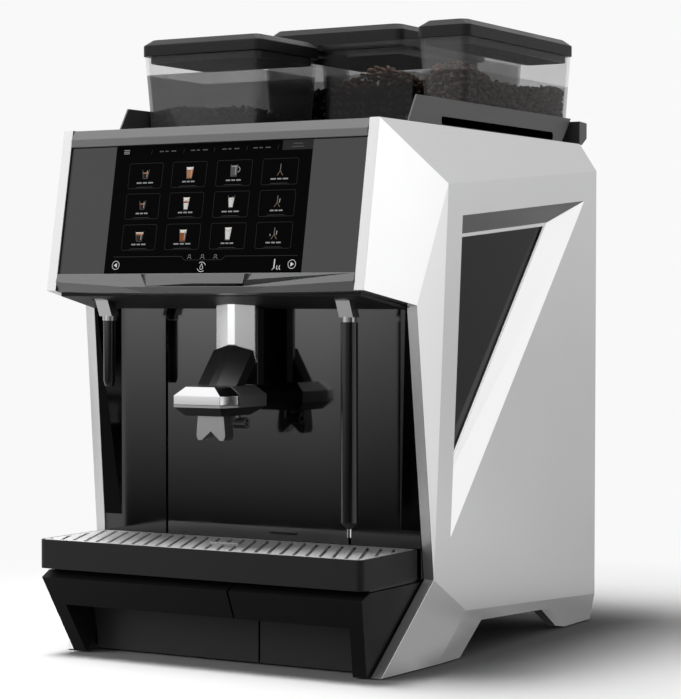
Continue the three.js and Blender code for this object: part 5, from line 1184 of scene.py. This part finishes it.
# %% Signs
def jet(u, v, extra):
    """A stalk with two bowed legs; extra adds a short bar beside it."""
    draw_line((u + 0.2, u), (v + 12.5, v + 4.6), 1.0, grey(0.16))
    for way in (-1, 1):
        bow = np.linspace(0, 1, 6)
        draw_line(u + way * (0.5 + 3.0 * bow ** 1.3), v + 4.8 - 4.8 * bow, 0.75, (0.20, 0.15, 0.10))
    for k in range(extra):
        draw_line(
            (u + 3.2 - k * 8.4, u + 2.6 - k * 7.6), (v + 9 - k * 3.4, v + 4.6 - k * 1.2),
            0.9, (0.42, 0.38, 0.34))


def ring(u, v, radius, wide, first=0.0, last=360.0):
    """A ring or part of one."""
    draw_line(*arc(u, v, radius, first, last, 28), wide, WHITE)


for v, extra in ((125.2, 0), (90.8, 1), (56.0, 2)):
    jet(87.0, v, extra)
for u, v, way in ((-115.8, 29.1, -1), (112.6, 28.7, 1)):
    ring(u, v, 4.7, 0.55)
    tip_u, tip_v = (u - way * 1.6, u - way * 1.6, u + way * 2.6), (v + way * 2.4, v - way * 2.4, v)
    draw(tip_u[::way], tip_v[::way], WHITE)
ring(-1.8, 26.6, 5.3, 0.6, 20, 130)
ring(-1.8, 26.6, 5.3, 0.6, 200, 310)
drop = np.radians(np.linspace(-220, 40, 12))
drop_u = np.append(-1.8 + 1.9 * np.cos(drop), -1.8)
drop_v = np.append(25.7 + 1.9 * np.sin(drop), 30.2)
draw_line(drop_u, drop_v, 0.55, WHITE, True)
for u in (-18.7, -1.8, 15.0):
    draw_line(*arc(u, 38.6, 1.5, -30, 210, 10), 0.45, SILVER)
    draw_line((u - 2.6, u - 1.3, u + 1.3, u + 2.6), (35.5, 37.2, 37.2, 35.5), 0.45, SILVER)
draw_line((90.6, 90.9), (24.2, 34.4), 1.3, WHITE)
draw_line((89.9, 88.4), (24.6, 22.6), 0.6, WHITE)
for u in (94.4, 97.6):
    draw_line((u, u - 0.5, u + 1.0), (27.6, 24.2, 23.0), 0.8, WHITE)


# %% Print the picture
def screen_ink():
    """A face's colour is what it sends out; the layer itself is black, with hardly any gloss."""
    material, tree, shader = start(
        "screen_picture", Roughness=0.5, Specular_IOR_Level=0.02, Emission_Strength=0.85)
    colour = put(tree, "Attribute", attribute_name="ink")
    dots = place_group(tree, grain, Size_mm=0.6, Depth=1.0)
    dim = mixed(tree, dots.outputs["Tone"], grey(0.86), grey(1.0))
    shine = mixed(tree, 1.0, colour.outputs["Color"], dim, blend_type="MULTIPLY")
    fill(tree, shader, {"Base Color": INK, "Emission Color": shine})
    return material


def print_picture():
    """One mesh of all the flat faces, with a colour attribute on its corners."""
    piece = meshed(
        "screen_picture", np.concatenate(picture["points"]), picture["faces"], screen_ink())
    counts = [len(face) for face in picture["faces"]]
    inks = np.array([(*colour, 1.0) for colour in picture["colours"]], np.float32)
    layer = piece.data.color_attributes.new("ink", "FLOAT_COLOR", "CORNER")
    layer.data.foreach_set("color", np.repeat(inks, counts, axis=0).ravel())
    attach(piece, "housing")
    return piece


print("screen faces:", len(print_picture().data.polygons))

# %% [markdown]
# ## Studio
# One soft lamp hangs high over the front left, so the shadow lies close along the right side.
# A weak wide lamp at the left and a dim even surround fill it in. The surround is white for
# the camera and for reflections. The floor takes the shadow and fades into that white.

# %% Floor, surround and lamps
PALE = 0.945
SURROUND = 0.10
FLOOR_TONE = 0.90
FLOOR_RADIUS, FLOOR_SIDES = 14, 96
FADE_FROM, FADE_TO = 0.55, 0.95
lamps = {
    "key_lamp": ((-0.54, -0.42, 3.1), (0, 0, 0.3), 1.1, 104),
    "side_lamp": ((-1.9, -1.9, 1.0), (0, 0, 0.2), 1.6, 15),
}


def surround(strength):
    """Light Path picks white for what is seen or mirrored, and less once light has scattered."""
    world = bpy.data.worlds.new("studio")
    world.use_nodes = True
    tree = world.node_tree
    background = tree.nodes["Background"]
    rays = put(tree, "LightPath").outputs
    seen = maths(tree, "MAXIMUM", rays["Is Camera Ray"], rays["Is Glossy Ray"])
    seen = maths(tree, "MAXIMUM", seen, rays["Is Transmission Ray"])
    clean = maths(tree, "SUBTRACT", seen, rays["Diffuse Depth"], use_clamp=True)
    level = mapped(tree, clean, 0.0, 1.0, strength, PALE)
    fill(tree, background, {"Color": (1, 1, 1), "Strength": level})
    bpy.context.scene.world = world


def lay_floor(tone, fade_from, fade_to):
    """A disc that takes shadows near the machine and turns into the surround's white far away."""
    material, tree, shader = start("pale_floor", Roughness=0.9, Specular_IOR_Level=0.0)
    distance = put(tree, "VectorMath", {0: here(tree)}, operation="LENGTH").outputs["Value"]
    far = mapped(tree, distance, fade_from, fade_to, interpolation_type="SMOOTHSTEP")
    fill(tree, shader, {"Base Color": grey(tone)})
    white = put(tree, "Emission", {"Color": (1, 1, 1), "Strength": PALE})
    blend = put(tree, "MixShader", {0: far, 1: shader.outputs[0], 2: white.outputs[0]})
    tree.links.new(blend.outputs[0], tree.nodes["Material Output"].inputs["Surface"])
    angle = np.linspace(0, 2 * math.pi, FLOOR_SIDES, endpoint=False)
    rim = np.stack((FLOOR_RADIUS * np.cos(angle), FLOOR_RADIUS * np.sin(angle), 0 * angle), -1)
    floor = meshed("floor", rim, [list(range(FLOOR_SIDES))], material)
    floor.visible_diffuse = False
    floor.visible_glossy = False
    return floor


def soft_lamp(name, place, target, size, power):
    """A square lamp turned so that its minus z axis points at its target."""
    data = bpy.data.lights.new(name, "AREA")
    data.shape = "SQUARE"
    data.size = size
    data.energy = power
    lamp = linked(name, data)
    away = np.array(place, float) - np.array(target, float)
    away /= np.linalg.norm(away)
    side = np.cross((0, 0, 1), away)
    side /= np.linalg.norm(side)
    aim(lamp, side, np.cross(away, side), away, place)
    lamp.visible_camera = False
    lamp.visible_glossy = False
    return lamp


bpy.context.scene.view_settings.view_transform = "Standard"
surround(SURROUND)
lay_floor(FLOOR_TONE, FADE_FROM, FADE_TO)
for name, setting in lamps.items():
    soft_lamp(name, *setting)
print("lamps and floor ready")

# %% [markdown]
# Metal and glass owe their tones to what they mirror, so cards that only reflections see
# stand round the machine. A card is a grid of points with a brightness at each one, and it
# sends out nothing once a ray has scattered, so it lights no matt surface.
#
# - The bay card stands before the cup bay: black below and at its right end, bright above.
# - A narrow rim card gives the left front edge its line of light.
# - The flank wall, part of a cylinder, is what the silver right side mirrors.
# - Two rings lie on the floor, dim near the machine. The toe mirrors a lighter patch of them
#   and the skirt a darker one, so the crease between the two can be seen.
# - The sky card lies overhead, for the surfaces that look up.

# %% Cards for reflections
def glow():
    """The card's own numbers, kept at its points, are what it sends out."""
    material = bpy.data.materials.new("card_glow")
    material.use_nodes = True
    tree = material.node_tree
    tree.nodes.clear()
    level = put(tree, "Attribute", attribute_name="level")
    rays = put(tree, "LightPath")
    clean = maths(tree, "SUBTRACT", 1.0, rays.outputs["Diffuse Depth"], use_clamp=True)
    lit = maths(tree, "MULTIPLY", level.outputs["Fac"], clean)
    shine = put(tree, "Emission", {"Color": (1, 1, 1), "Strength": lit})
    put(tree, "OutputMaterial", {"Surface": shine.outputs[0]})
    return material


card_glow = glow()


def card(name, points, levels):
    """A grid of points, rows by columns, with a brightness at each; only reflections see it."""
    sheet = meshed(name, points, grid_quads(*np.shape(levels)), card_glow)
    at_points(sheet, "level", levels)
    for ray in ("camera", "diffuse", "transmission", "volume_scatter", "shadow"):
        setattr(sheet, "visible_" + ray, False)
    return sheet


def lattice(columns, *rows):
    """Steps of the columns along every row; where all rows share a value it may be one number."""
    down = (np.reshape(row, (-1, 1)) for row in rows)
    return np.broadcast_arrays(np.reshape(columns, (1, -1)), *down)


def flat_card(name, across, along, up, levels):
    """A flat card over steps in x: upright where y is one number, lying where z is."""
    return card(name, np.stack(lattice(across, along, up), -1), levels)


def round_card(name, azimuths, radii, up, levels):
    """A wall or a ring round the machine; the azimuth counts from +Y towards +X, in degrees."""
    turn, radius, z = lattice(np.radians(azimuths), radii, up)
    return card(name, np.stack((radius * np.sin(turn), radius * np.cos(turn), z), -1), levels)


BAY_Y = -0.80
RIM_Y, RIM_BRIGHT = -0.25, 0.95
SKY_HEIGHT, SKY_BRIGHT = 3.6, 1.2
BAY_X = np.array((-1.8, -1.3, -1.1, -0.9, -0.75, -0.3, -0.1, 0.1, 0.35, 0.6, 0.8, 1.8))
BAY_BRIGHT = np.array((0.12, 0.12, 0.2, 0.7, 1.0, 1.0, 0.7, 0.40, 0.25, 0.08, 0.0, 0.0))
BAY_Z = np.array((0.0, 0.05, 0.15, 0.25, 0.38, 0.5))
BAY_RISE = np.array((0.0, 0.0, 0.3, 0.68, 1.4, 1.4))
flat_card("bay_card", BAY_X, BAY_Y, BAY_Z, np.outer(BAY_RISE, BAY_BRIGHT))
flat_card("rim_card", (-0.275, -0.246), RIM_Y, (0.02, 0.44), np.full((2, 2), RIM_BRIGHT))
WALL_RADIUS = 6.0
WALL_AZIMUTH = np.array((-70, -30, 2, 14, 24, 30, 38, 43, 47, 55, 70, 84))
WALL_BRIGHT = np.array((0.8, 0.7, 0.64, 0.58, 0.58, 0.62, 0.70, 0.92, 1.28, 1.32, 1.1, 0.9))
WALL_Z = np.array((0.0, 0.4, 1.0, 3.0))
WALL_RISE = np.array((0.86, 1.0, 1.14, 1.2))
round_card("flank_wall", WALL_AZIMUTH, WALL_RADIUS, WALL_Z, np.outer(WALL_RISE, WALL_BRIGHT))
TOE_GLOW, SKIRT_GLOW = 0.37, 0.20
FAR_GAIN = 1.35
RING_LIFT = 0.001
REAR_RADII = np.array((0.12, 0.262, 0.29, 0.40, 0.50, 0.65, 0.9, 2.0, 6.0))
REAR_RISE = np.array((0.12, 0.24, 0.28, 0.30, 0.44, 0.66, 0.72, 0.80, 0.88))
REAR_BRIGHT = np.array((0.8, 0.7, 0.64, 0.60, 0.64, 0.70, 0.76, 0.80, 0.84, 0.9, 0.9, 0.9))
rear_levels = np.outer(REAR_RISE, REAR_BRIGHT)
rear_levels[:5, -2:] = TOE_GLOW
rear_levels[:3, -2] = SKIRT_GLOW
rear_levels[7:, 6:] *= FAR_GAIN
rear_levels[:2, -1] = SKIRT_GLOW
round_card("rear_floor", WALL_AZIMUTH, REAR_RADII, RING_LIFT, rear_levels)
FRONT_RADII = np.array((0.12, 0.25, 0.275, 0.45, 0.6, 0.9, 4.0))
FRONT_RISE = np.array((0.10, 0.16, 0.18, 0.3, 0.78, 1.05, 1.1))
FRONT_AZIMUTH = np.array((84, 120, 150, 180, 220, 260, 290))
FRONT_BRIGHT = np.array((0.9, 0.5, 0.4, 0.8, 1.0, 1.0, 0.8))
front_levels = np.outer(FRONT_RISE, FRONT_BRIGHT)
front_levels[:5, :2] = TOE_GLOW
front_levels[:2, :2] = SKIRT_GLOW
round_card("front_floor", FRONT_AZIMUTH, FRONT_RADII, RING_LIFT, front_levels)
flat_card("sky_card", (-3.0, 4.5), (-4.0, 3.0), SKY_HEIGHT, np.full((2, 2), SKY_BRIGHT))
print("cards ready")
